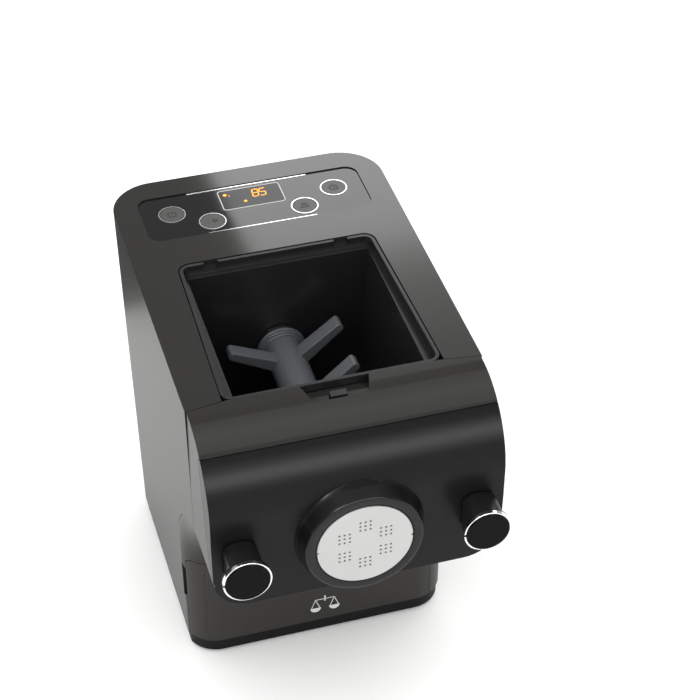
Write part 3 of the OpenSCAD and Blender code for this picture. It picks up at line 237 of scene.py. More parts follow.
def circuit_board(name, colour):
    """Glass-fibre laminate under solder mask: tracks show as a slightly lighter maze."""
    material, tree = new_material(name)
    place = add_node(tree, "ShaderNodeTexCoord")
    tracks = add_node(tree, "ShaderNodeTexVoronoi", {"distance": "MANHATTAN"},
                      {"Scale": 1 / (6 * MM)}, {"Vector": (place, "Object")})
    tone = add_node(tree, "ShaderNodeMix", {"data_type": "RGBA"},
                    {6: rgba(colour), 7: rgba([c * 1.8 for c in colour])},
                    {0: (tracks, "Distance")})
    shader = add_node(tree, "ShaderNodeBsdfPrincipled",
                      values={"Roughness": 0.3, "Coat Weight": 0.3, "Coat Roughness": 0.1},
                      links={"Base Color": (tone, 2)})
    finish_material(tree, shader)
    return material


# ---------------------------------------------------------------- settings

class PastaMakerSizes(bpy.types.PropertyGroup):
    """Sizes that the looks add to the solids."""
    shell_edge: length_property("Shell edge", "Rounding of the moulded covers' edges", 0.7)
    panel_edge: length_property("Panel edge", "Rounding of the front panel's outer edges", 3.2)
    panel_corner: length_property("Panel corner", "Radius of the panel's lower corners", 28)
    paddle_reach: length_property("Paddle reach", "Reach of the paddle's arms from its axis", 53)
    small_edge: length_property("Small edge", "Rounding of knobs, disc and buttons", 0.35)
    digit_height: length_property("Digit height", "Height of a display digit", 9.2)
    digit_width: length_property("Digit width", "Width of a display digit", 4.5)
    print_height: length_property("Print height", "How far a printed mark stands proud", 0.05)
    icon_line: length_property("Icon line", "Width of a printed icon's lines", 0.7)
    scale_width: length_property("Scale width", "Width of the weighing symbol", 24)
    # Painted highlight: the panel's bright lines are strips that stand in for the gleam on its
    # recess edges
    highlight_line_width: length_property("Trim width", "Width of the control panel's bright lines", 1.1)


class PastaMakerColours(bpy.types.PropertyGroup):
    """Colours of the finishes."""
    housing: colour_property("Housing", "Satin ABS of the body", "201E1C")
    cover: colour_property("Top", "Polished ABS of the top and hood", "21201E")
    panel: colour_property("Front panel", "Satin black front panel", "111112")
    control: colour_property("Control panel", "Gloss black control panel", "0B0B0C")
    drawer: colour_property("Drawer", "Satin ABS of the drawer front", "1E1C1A")
    base: colour_property("Base", "Black plinth", "0B0A09")
    chamber: colour_property("Chamber", "Black inside of the mixing chamber", "1C1C1D")
    paddle: colour_property("Paddle", "Grey food-safe plastic", "55585B")
    disc: colour_property("Disc", "Light grey shaping disc", "ABABAA")
    knob: colour_property("Knob", "Dark knob", "101011")
    cap: colour_property("Knob cap", "Gloss black knob cap", "08080A")
    button: colour_property("Button", "Silver-grey button caps", "3D3C3A")
    orange: colour_property("Display", "Orange display light", "FF9A1E")
    ink: colour_property("Ink", "Printed symbols", "C4C4C0")


class PastaMakerStage(bpy.types.PropertyGroup):
    """Light and floor."""
    world: strength_property("World", "Strength of the surrounding light", 1.6)
    sky: strength_property("Sky", "How bright that light looks in reflections", 0.4)
    key: strength_property("Key", "Power of the key light", 6, "POWER")
    rear_card: strength_property("Rear card", "Strength of the card behind", 2.4)
    front_card: strength_property("Front card", "Strength of the card in front", 15)
    top_card: strength_property("Top card", "Strength of the card above", 1.0)
    left_card: strength_property("Left card", "Strength of the small card at the left", 16)
    floor: colour_property("Floor", "Pale floor", "F7F7F6")


# ---------------------------------------------------------------- dressing CAD nodes

def paint(nodes, material):
    for name in nodes.split():
        node = frame["nodes"][name]
        node.data.materials.clear()
        node.data.materials.append(material)


def paint_faces(nodes, material, chosen):
    """Gives a second finish to the faces whose normals pass the test."""
    for name in nodes.split():
        mesh = frame["nodes"][name].data
        mesh.materials.append(material)
        for face in mesh.polygons:
            if chosen(face.normal):
                face.material_index = len(mesh.materials) - 1


def weigh_normals(thing, keep_sharp=False):
    """Lets the large faces set the shading, so that rounded edges don't bend it."""
    normals = thing.modifiers.new("shading", "WEIGHTED_NORMAL")
    normals.mode = "FACE_AREA"
    normals.weight = 100
    normals.keep_sharp = keep_sharp


def soften(nodes, width, segments=3, share=None):
    """Rounds the crisp edges of the solids, all alike or each by its share of the width."""
    for name in nodes.split():
        node = frame["nodes"][name]
        weld = node.modifiers.new("merge", "WELD")
        weld.merge_threshold = WELD_DISTANCE
        bevel = node.modifiers.new("edge", "BEVEL")
        bevel.width = width
        bevel.segments = segments
        bevel.limit_method = "WEIGHT" if share else "ANGLE"
        bevel.angle_limit = CRISP_ANGLE
        bevel.use_clamp_overlap = True
        if share:
            weigh_edges(node.data, share)
        weigh_normals(node, keep_sharp=bool(share))


def edge_key(a, b):
    """Same key for an edge in two copies of a mesh, whichever end comes first."""
    return frozenset(tuple(round(c / MATCH_STEP) for c in end) for end in (a, b))


def weigh_edges(mesh, share):
    """Gives each crisp edge its bevel weight; an edge without a share stays sharp."""
    bm = bmesh.new()
    bm.from_mesh(mesh)
    bmesh.ops.remove_doubles(bm, verts=bm.verts, dist=WELD_DISTANCE)
    crisp = {edge_key(*(v.co for v in edge.verts)): min(share(v.co) for v in edge.verts)
             for edge in bm.edges
             if len(edge.link_faces) == 2 and edge.calc_face_angle() > CRISP_ANGLE}
    bm.free()
    weights = mesh.attributes.new("bevel_weight_edge", "FLOAT", "EDGE")
    sharp = (mesh.attributes.get("sharp_edge")
             or mesh.attributes.new("sharp_edge", "BOOLEAN", "EDGE"))
    for edge in mesh.edges:
        weight = crisp.get(edge_key(*(mesh.vertices[i].co for i in edge.vertices)))
        weights.data[edge.index].value = weight or 0
        sharp.data[edge.index].value = weight == 0


# ---------------------------------------------------------------- mesh tools

def make_piece(name, mesh_builder, material, body, bevel=0.0):
    """Makes a piece of its own that rides on a body, with its edges rounded if asked."""
    mesh = bpy.data.meshes.new(name)
    bm = bmesh.new()
    mesh_builder(bm)
    bmesh.ops.recalc_face_normals(bm, faces=bm.faces)
    bm.to_mesh(mesh)
    bm.free()
    piece = link_object(name, mesh)
    mesh.materials.append(material)
    if bevel:
        edge = piece.modifiers.new("edge", "BEVEL")
        edge.width = bevel
        edge.segments = 2
        edge.limit_method = "ANGLE"
        mesh.shade_smooth()
        weigh_normals(piece)
    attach(piece, body)
    return piece


def add_prism(bm, outline, low, high, place=Matrix.Identity(4)):
    """Prism over a flat outline in x and y, between two heights."""
    bottom = [bm.verts.new(place @ Vector((x, y, low))) for x, y in outline]
    top = [bm.verts.new(place @ Vector((x, y, high))) for x, y in outline]
    bm.faces.new(bottom[::-1])
    bm.faces.new(top)
    for i in range(len(outline)):
        j = (i + 1) % len(outline)
        bm.faces.new((bottom[i], bottom[j], top[j], top[i]))


def add_ring(bm, inner, outer, low, high, place=Matrix.Identity(4)):
    """Prism between two outlines with equally many points."""
    rings = [[bm.verts.new(place @ Vector((x, y, z))) for x, y in line]
             for z, line in ((low, outer), (high, outer), (high, inner), (low, inner))]
    count = len(inner)
    for a in range(4):
        b = (a + 1) % 4
        for i in range(count):
            j = (i + 1) % count
            bm.faces.new((rings[a][i], rings[a][j], rings[b][j], rings[b][i]))


def circle_points(x, y, radius, count, start=0.0, sweep=360.0):
    """Points round a circle, or along an arc of it with both its ends."""
    step = math.radians(sweep) / (count if sweep == 360 else count - 1)
    first = math.radians(start)
    return [(x + radius * math.cos(first + i * step), y + radius * math.sin(first + i * step))
            for i in range(count)]


def round_box(x0, y0, x1, y1, radius, steps=6):
    """Outline of a box with round corners, with a number of points at each corner."""
    corners = ((x1 - radius, y1 - radius, 0), (x0 + radius, y1 - radius, 90),
               (x0 + radius, y0 + radius, 180), (x1 - radius, y0 + radius, 270))
    return [p for x, y, a in corners for p in circle_points(x, y, radius, steps, a, 90)]


def add_line(bm, points, width, low, high, place=Matrix.Identity(4)):
    """Flat line of even width along open points, with mitred corners."""
    left, right = [], []
    for i, point in enumerate(points):
        here = Vector(point)
        before = Vector(points[max(i - 1, 0)])
        after = Vector(points[min(i + 1, len(points) - 1)])
        ways = [w.normalized() for w in (here - before, after - here) if w.length > 1e-9]
        way = (ways[0] + ways[-1]).normalized()
        normal = Vector((-way.y, way.x))
        reach = width / 2 / max(0.3, normal.dot(Vector((-ways[0].y, ways[0].x))))
        left.append(tuple(here + normal * reach))
        right.append(tuple(here - normal * reach))
    for i in range(len(points) - 1):
        add_prism(bm, [right[i], right[i + 1], left[i + 1], left[i]], low, high, place)


def add_arc(bm, x, y, radius, width, start, sweep, low, high, place=Matrix.Identity(4), count=28):
    """Flat ring, or a part of one as a single closed band."""
    inner = circle_points(x, y, radius - width / 2, count, start, sweep)
    outer = circle_points(x, y, radius + width / 2, count, start, sweep)
    if sweep == 360:
        add_ring(bm, inner, outer, low, high, place)
    else:
        add_prism(bm, outer + inner[::-1], low, high, place)


# ---------------------------------------------------------------- operators

class PASTA_OT_housing(bpy.types.Operator):
    """Finishes the body, top cover, hood and base"""
    bl_idname = "pasta_maker.housing"
    bl_label = "Housing"

    def execute(self, context):
        sizes = context.scene.pasta_sizes
        colours = context.scene.pasta_colours
        # Satin ABS: soft broad highlights, bright only where light grazes it
        satin = moulded_plastic("abs_satin_housing", colours.housing, 0.34, 0.7, 0.012,
                                specular=0.21)
        paint("main_housing", satin)
        paint("storage_drawer",
              moulded_plastic("abs_satin_drawer", colours.drawer, 0.42, 0.7, 0.012, specular=0.3))
        # Polished ABS: mirrors the cards with only a little blur
        paint("top_cover front_cover",
              moulded_plastic("abs_polished_top", colours.cover, 0.08, 0.9, 0.002))
        # The sides of both covers carry on the satin of the body below them
        paint_faces("top_cover front_cover", satin, lambda normal: abs(normal.x) > SIDEWAYS)
        # Black ABS in the shade of the body, and matt black rubber
        paint("base_plate",
              moulded_plastic("abs_black_base", colours.base, 0.5, 0.6, 0.015, specular=0.12))
        paint("rubber_feet cord_gland",
              moulded_plastic("rubber_black", colours.base, 0.75, 0.5, 0.03))
        soften("main_housing storage_drawer base_plate top_cover front_cover", sizes.shell_edge)
        return {"FINISHED"}


class PASTA_OT_controls(bpy.types.Operator):
    """Finishes the control panel, its buttons, rings and display"""
    bl_idname = "pasta_maker.controls"
    bl_label = "Controls"

    def execute(self, context):
        sizes = context.scene.pasta_sizes
        colours = context.scene.pasta_colours
        # Gloss acrylic: a clear mirror image over black
        paint("control_panel",
              moulded_plastic("acrylic_black_control", colours.control, 0.05, 1.2, 0.001))
        paint("display_window", smoked_lens("acrylic_smoked_display", linear("121315")))
        # Lacquered caps: metallic paint with a soft sparkle
        paint(BUTTONS, moulded_plastic("lacquer_silver_button", colours.button, 0.3, 0.25, 0.006,
                                       specular=0.6))
        paint("button_rings", plated_metal("chrome_trim", linear("E4E4E4"), 0.12, 0.4))
        soften(f"{BUTTONS} control_panel", sizes.small_edge)
        return {"FINISHED"}


class PASTA_OT_chamber(bpy.types.Operator):
    """Finishes the mixing chamber, paddle, screw and barrel"""
    bl_idname = "pasta_maker.chamber"
    bl_label = "Chamber"

    # The paddle, in mm and degrees; its places along the shaft grow towards the back
    HUB = (14.5, -25, 57.5)                       # radius, front and back
    COLLARS = ((19, 55), (17.5, 53.5), (16, 52))  # radius and front of each step
    ARMS = ((153, 28), (40, 28), (266, 28), (44, -23), (224, -23))  # angle and front
    ARM_DEPTH = 12                                # along the shaft
    ARM_ROOT = ((11, -5), (11, 5))                # out from the shaft's axis, and across
    ARM_TIP = ((-1.5, 3.3), (0, 1.8), (0, -1.8), (-1.5, -3.3))  # out from the arm's end
    ARM_EDGE = 0.7                                # rounding of the paddle's edges

    def execute(self, context):
        sizes = context.scene.pasta_sizes
        colours = context.scene.pasta_colours
        # Moulded black plastic with a fine even grain
        paint("mixing_chamber",
              moulded_plastic("abs_black_chamber", colours.chamber, 0.26, 0.8, 0.006,
                              specular=0.4))
        # Acetal-like grey plastic that takes a dull shine from use
        acetal = moulded_plastic("acetal_grey_paddle", colours.paddle, 0.38, 0.9, 0.01)
        paint("mixing_paddle extrusion_screw extrusion_barrel", acetal)
        paint("shaft_seal", moulded_plastic("silicone_seal", linear("7A2A24"), 0.6, 0.6, 0.01))
        soften("mixing_paddle mixing_chamber", sizes.small_edge)
        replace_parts(self.paddle(sizes, acetal), "mixing_paddle")
        return {"FINISHED"}

    def paddle(self, sizes, material):
        """Hub with a stepped collar and slim bars that narrow outwards."""
        axis = next(j["pos_m"][2] for j in frame["joints"] if j["name"] == "agitator_spin")
        reach = sizes.paddle_reach / MM
        outline = [(x * MM, y * MM)
                   for x, y in (*self.ARM_ROOT, *((reach + x, y) for x, y in self.ARM_TIP))]

        def build(bm):
            along = Matrix.Translation((0, 0, axis)) @ Matrix.Rotation(math.radians(-90), 4, "X")
            radius, front, back = self.HUB
            rods = [(radius, front, back)] + [(r, y, back) for r, y in self.COLLARS]
            for r, y0, y1 in rods:
                add_prism(bm, circle_points(0, 0, r * MM, count=64), y0 * MM, y1 * MM, along)
            for angle, y0 in self.ARMS:
                turn = Matrix.Rotation(math.radians(-angle), 4, "Z")
                add_prism(bm, outline, y0 * MM, (y0 + self.ARM_DEPTH) * MM, along @ turn)

        return make_piece("dough_paddle", build, material, "agitator",
                          self.ARM_EDGE * MM)


class PASTA_OT_front(bpy.types.Operator):
    """Finishes the front panel and the shaping disc"""
    bl_idname = "pasta_maker.front"
    bl_label = "Front"

    # All in mm
    PANEL_FACE = -154.5   # front of the panel
    ROLL_RADIUS = 56      # its roll towards the top
    NOSE_ROOM = 49        # nearer to the disc's axis than this, edges stay sharp
    OUTLINE_ROOM = 0.3    # an edge nearer to the outline than this belongs to it
    NOSE_FOOT = 50        # the panel's roll under the nose is measured at this radius
    NOSE_SIDES = 144      # how many faces go round the nose
    # Section of the nose: radius, and the share of the way from the panel's face to the rim
    NOSE = ((47.4, -0.1), (47.1, 0.02), (46.6, 0.08), (46.0, 0.17), (45.5, 0.28), (45.0, 0.4),
            (44.3, 0.58), (43.45, 0.79), (42.9, 0.92), (42.6, 0.97), (42.1, 0.998), (41.5, 1.006),
            (36.5, 1.006), (36.0, 0.995), (35.7, 0.96), (35.6, 0.7), (40, 0.5))

    def execute(self, context):
        sizes = context.scene.pasta_sizes
        colours = context.scene.pasta_colours
        # Satin black plastic: the highlight along its roll is wide and soft
        paint("front_panel",
              moulded_plastic("abs_satin_panel", colours.panel, 0.33, 0.6, 0.01, specular=0.11))
        # Natural acetal disc, wiped clean, with a slight sheen
        paint("shaping_disc spare_discs",
              moulded_plastic("acetal_light_disc", colours.disc, 0.36, 0.8, 0.008))
        low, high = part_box("front_panel")
        corner = sizes.panel_corner
        axis = self.disc_axis()

        def share(spot):
            """Rounding on the panel's outline only."""
            if math.hypot(spot.x, spot.z - axis) < self.NOSE_ROOM * MM:
                return 0
            side, foot = high[0] - abs(spot.x), spot.z - low[2]
            if side < corner and foot < corner:
                gap = corner - math.hypot(corner - side, corner - foot)
            else:
                gap = min(side, foot)
            return float(abs(gap) < self.OUTLINE_ROOM * MM)

        soften("front_panel", sizes.panel_edge, segments=4, share=share)
        soften("shaping_disc", sizes.small_edge)
        # The nose has the panel's black with a brighter polish
        self.nose(moulded_plastic("abs_gloss_nose", colours.panel, 0.24, 0.6, 0.006,
                                  specular=0.22))
        return {"FINISHED"}

    @staticmethod
    def disc_axis():
        low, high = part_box("shaping_disc")
        return (low[2] + high[2]) / 2

    def nose(self, material):
        """Rounded collar round the disc, which follows the panel where the panel rolls back."""
        axis = self.disc_axis()
        face, rim = self.PANEL_FACE * MM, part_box("front_panel")[0][1]
        roll = self.ROLL_RADIUS * MM
        roll_z = cad_box[1][2] - roll
        count = self.NOSE_SIDES

        def build(bm):
            rings = []
            for i in range(count):
                turn = math.radians(i * 360 / count)
                rise = max(0, axis + self.NOSE_FOOT * MM * math.sin(turn) - roll_z)
                root = face + roll - math.sqrt(roll ** 2 - rise ** 2)
                rings.append([
                    bm.verts.new((r * MM * math.cos(turn), root + (rim - root) * t,
                                  axis + r * MM * math.sin(turn)))
                    for r, t in self.NOSE])
            for i, ring in enumerate(rings):
                after = rings[(i + 1) % count]
                for k in range(len(ring)):
                    j = (k + 1) % len(ring)
                    bm.faces.new((ring[k], ring[j], after[j], after[k]))

        nose = make_piece("nose_collar", build, material, "front")
        nose.data.shade_smooth()


class PASTA_OT_knobs(bpy.types.Operator):
    """Finishes the two lock knobs"""
    bl_idname = "pasta_maker.knobs"
    bl_label = "Knobs"

    def execute(self, context):
        sizes = context.scene.pasta_sizes
        colours = context.scene.pasta_colours
        # Satin grips, polished caps and plated rings
        paint("left_knob right_knob",
              moulded_plastic("abs_satin_knob", colours.knob, 0.33, 0.6, 0.008))
        paint("left_knob_cap right_knob_cap",
              moulded_plastic("abs_gloss_cap", colours.cap, 0.2, 0.8, 0.002, specular=0.05))
        paint("left_knob_ring right_knob_ring",
              plated_metal("chrome_ring", linear("ECECEC"), 0.1, 0.4))
        soften("left_knob right_knob left_knob_cap right_knob_cap left_knob_ring right_knob_ring",
               sizes.small_edge)
        return {"FINISHED"}


class PASTA_OT_inside(bpy.types.Operator):
    """Finishes what the covers hide: frame, drive, boards and fasteners"""
    bl_idname = "pasta_maker.inside"
    bl_label = "Inside"

    def execute(self, context):
        # Ribbed structural plastic, left as moulded
        paint("inner_frame", moulded_plastic("abs_grey_frame", linear("6C6C6B"), 0.55, 1.0, 0.02))
        paint("display_module key_switches lid_switch lid_plunger cooling_fan",
              moulded_plastic("nylon_black_small_parts", linear("1A1A1A"), 0.45, 0.7, 0.01))
        paint("intermediate_gear output_gear",
              moulded_plastic("acetal_white_gears", linear("E6E4DC"), 0.4, 0.8, 0.008))
        paint("ribbon_cable",
              moulded_plastic("vinyl_grey_ribbon", linear("8C8D8F"), 0.5, 1.0, 0.02))
        # Zinc plating and turned steel
        paint("motor_can", plated_metal("zinc_motor_can", linear("B4B8BC"), 0.34, 0.8))
        paint("load_cells bearings left_lock_shaft right_lock_shaft lock_clips housing_screws "
              "drive_screws board_screws plunger_spring motor_rotor motor_pinion",
              plated_metal("turned_steel", linear("C6C6C8"), 0.26, 0.5))
        paint("gearbox_plates", plated_metal("cast_aluminium", linear("BFC0C2"), 0.42, 1.2))
        paint("motor_stator", plated_metal("copper_windings", linear("C97B4A"), 0.35, 0.6))
        paint("control_board power_board", circuit_board("solder_mask_green", linear("1D5A33")))
        return {"FINISHED"}


class PASTA_OT_display(bpy.types.Operator):
    """Adds the lit digits and lamps of the display and the thin line round it"""
    bl_idname = "pasta_maker.display"
    bl_label = "Display"

    SEGMENTS = {"8": "abcdefg", "5": "acdfg"}
    # Places and sizes in mm
    FIRST_DIGIT = (1.5, 139.6)
    DIGIT_GAP = 1.3
    LAMPS = ((-19.5, 147.3, 1.5), (-16.6, 145.4, 0.5), (-5.7, 135.6, 1.3))  # x, y and radius
    LINE_WIDTH = 0.75
    LINE_CORNER = 2
    LINE_SINK = 0.1
    STROKE = 0.2       # thickness of a segment, as a share of the digit's width
    STROKE_GAP = 0.62  # space at a segment's ends, as a share of its thickness
    LEAN = 0.08        # how far a digit leans over, as a share of its height

    def execute(self, context):
        sizes = context.scene.pasta_sizes
        colours = context.scene.pasta_colours
        low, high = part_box("display_window")
        glass = high[2]
        top = glass + sizes.print_height
        orange = lit_segments("led_orange", colours.orange, 1.1)

        def digits(bm):
            x, y = self.FIRST_DIGIT
            for i, digit in enumerate("85"):
                corner = (x * MM + i * (sizes.digit_width + self.DIGIT_GAP * MM), y * MM)
                self.add_digit(bm, digit, corner, sizes, glass, top)

        make_piece("display_digits", digits, orange, "housing")

        def lamps(bm):
            for x, y, radius in self.LAMPS:
                add_prism(bm, circle_points(x * MM, y * MM, radius * MM, 16), glass, top)

        make_piece("display_lamps", lamps, orange, "housing")

        white = printed_ink("print_white", colours.ink, 0.4)
        line, corner = self.LINE_WIDTH * MM, self.LINE_CORNER * MM

        def outline(bm):
            inner = round_box(low[0], low[1], high[0], high[1], corner)
            outer = round_box(low[0] - line, low[1] - line, high[0] + line, high[1] + line,
                              corner + line)
            add_ring(bm, inner, outer, glass - self.LINE_SINK * MM, top)

        make_piece("display_outline", outline, white, "housing")
        return {"FINISHED"}

    def add_digit(self, bm, digit, corner, sizes, low, high):
        """One digit of seven pointed segments that leans to the right."""
        x0, y0 = corner
        w, h = sizes.digit_width, sizes.digit_height
        t = w * self.STROKE
        ends = {"a": ((0, h), (w, h)), "b": ((w, h / 2), (w, h)), "c": ((w, 0), (w, h / 2)),
                "d": ((0, 0), (w, 0)), "e": ((0, 0), (0, h / 2)), "f": ((0, h / 2), (0, h)),
                "g": ((0, h / 2), (w, h / 2))}
        for key in self.SEGMENTS[digit]:
            (ax, ay), (bx, by) = ends[key]
            a, b = Vector((ax, ay)), Vector((bx, by))
            way = (b - a).normalized()
            side = Vector((-way.y, way.x)) * t / 2
            a, b = a + way * t * self.STROKE_GAP, b - way * t * self.STROKE_GAP
            tip = way * t / 2
            outline = [a - tip, a - side, b - side, b + tip, b + side, a + side]
            add_prism(bm, [(x0 + p.x + p.y * self.LEAN, y0 + p.y) for p in outline], low, high)


class PASTA_OT_icons(bpy.types.Operator):
    """Adds plain symbols to the four buttons"""
    bl_idname = "pasta_maker.icons"
    bl_label = "Button symbols"

    def execute(self, context):
        sizes = context.scene.pasta_sizes
        ink = printed_ink("print_dark", linear("0A0A0A"), 0.6)
        line = sizes.icon_line
        for key in ("power", "program", "timer", "scale"):
            low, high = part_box(f"{key}_button")
            centre = ((low[0] + high[0]) / 2, (low[1] + high[1]) / 2)
            place = Matrix.Translation((*centre, high[2]))
            build = getattr(self, key)
            make_piece(f"{key}_symbol", lambda bm: build(bm, line, sizes.print_height, place), ink,
                       f"{key}_key")
        return {"FINISHED"}

    @staticmethod
    def power(bm, line, top, place):
        add_arc(bm, 0, 0, 3.2 * MM, line, 120, 300, 0, top, place)
        add_line(bm, [(0, 0.6 * MM), (0, 4 * MM)], line, 0, top, place)

    @staticmethod
    def program(bm, line, top, place):
        for i in (-1, 0, 1):
            add_prism(bm, circle_points(-3.4 * MM, i * 2 * MM, 0.45 * MM, 12), 0, top, place)
        corners = [(0.6 * MM, -2.2 * MM), (4 * MM, 0), (0.6 * MM, 2.2 * MM), (0.6 * MM, -2.3 * MM)]
        add_line(bm, corners, line, 0, top, place)

    @staticmethod
    def timer(bm, line, top, place):
        add_arc(bm, 0, 0, 3.2 * MM, line, 0, 360, 0, top, place)
        add_line(bm, [(0, 2 * MM), (0, 0), (1.5 * MM, -0.9 * MM)], line, 0, top, place)

    @staticmethod
    def scale(bm, line, top, place):
        add_line(bm, [(-3.4 * MM, -2 * MM), (3.4 * MM, -2 * MM)], line, 0, top, place)
        add_line(bm, [(-2.6 * MM, 2.6 * MM), (2.6 * MM, 2.6 * MM)], line, 0, top, place)
        add_arc(bm, 0, -2 * MM, 3 * MM, line, 20, 140, 0, top, place, 14)


class PASTA_OT_highlight_line(bpy.types.Operator):
    """Adds the painted highlights along the control panel, bright metal strips on the recess's
    edges, and the weighing symbol on the drawer
    """
    bl_idname = "pasta_maker.trim"
    bl_label = "Highlight line"

    # All in mm, but for the last
    LINE_HALVES = {"rear": 48.3, "front": 42.7}
    LINE_INSET = 0.3
    LINE_SINK = 0.05
    LINE_RISE = 0.35
    LINE_EDGE = 0.1
    SYMBOL_SPOT = (3.5, 31)  # middle of the weighing symbol on the drawer's face
    SYMBOL_SINK = 0.02
    LINE_ROUND = 0.49        # round of a line's ends, as a share of its width

    def execute(self, context):
        sizes = context.scene.pasta_sizes
        colours = context.scene.pasta_colours
        # Painted highlight: bright metal strips stand in for the gleam along the recess's rear and
        # front edges
        chrome = plated_metal("painted_highlight_metal", linear("F2F2F2"), 0.08, 0.5)
        low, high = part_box("control_panel")
        face = high[2]
        width = sizes.highlight_line_width
        inset = self.LINE_INSET * MM
        bottom, top = face - self.LINE_SINK * MM, face + self.LINE_RISE * MM
        for name, y in (("rear", high[1] - inset - width), ("front", low[1] + inset)):
            half = self.LINE_HALVES[name] * MM
            outline = round_box(-half, y, half, y + width, width * self.LINE_ROUND)
            make_piece(f"{name}_highlight_strip", lambda bm: add_prism(bm, outline, bottom, top),
                       chrome, "housing", self.LINE_EDGE * MM)
        self.weighing_symbol(sizes, printed_ink("print_grey", colours.ink, 0.5))
        return {"FINISHED"}

    def weighing_symbol(self, sizes, ink):
        """A plain two-pan balance: beam, post, two hangers and two bowls."""
        x, z = self.SYMBOL_SPOT
        upright = Matrix.Rotation(math.radians(90), 4, "X")
        place = Matrix.Translation((x * MM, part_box("storage_drawer")[0][1], z * MM)) @ upright
        half = sizes.scale_width / 2
        pan = half * 0.36
        arm = half - pan
        beam, rim = half * 0.5, -half * 0.25

        def build(bm):
            args = (-self.SYMBOL_SINK * MM, sizes.print_height, place)
            add_line(bm, [(-arm, beam), (arm, beam)], 0.7 * MM, *args)
            add_line(bm, [(0, half * 0.78), (0, half * 0.3)], 1.2 * MM, *args)
            for side in (-1, 1):
                x, reach = side * arm, pan * 0.8
                add_line(bm, [(x - reach, rim), (x, beam), (x + reach, rim)], 0.6 * MM, *args)
                add_prism(bm, circle_points(x, rim, pan, 14, 180, 180), *args)

        make_piece("weighing_symbol", build, ink, "drawer")


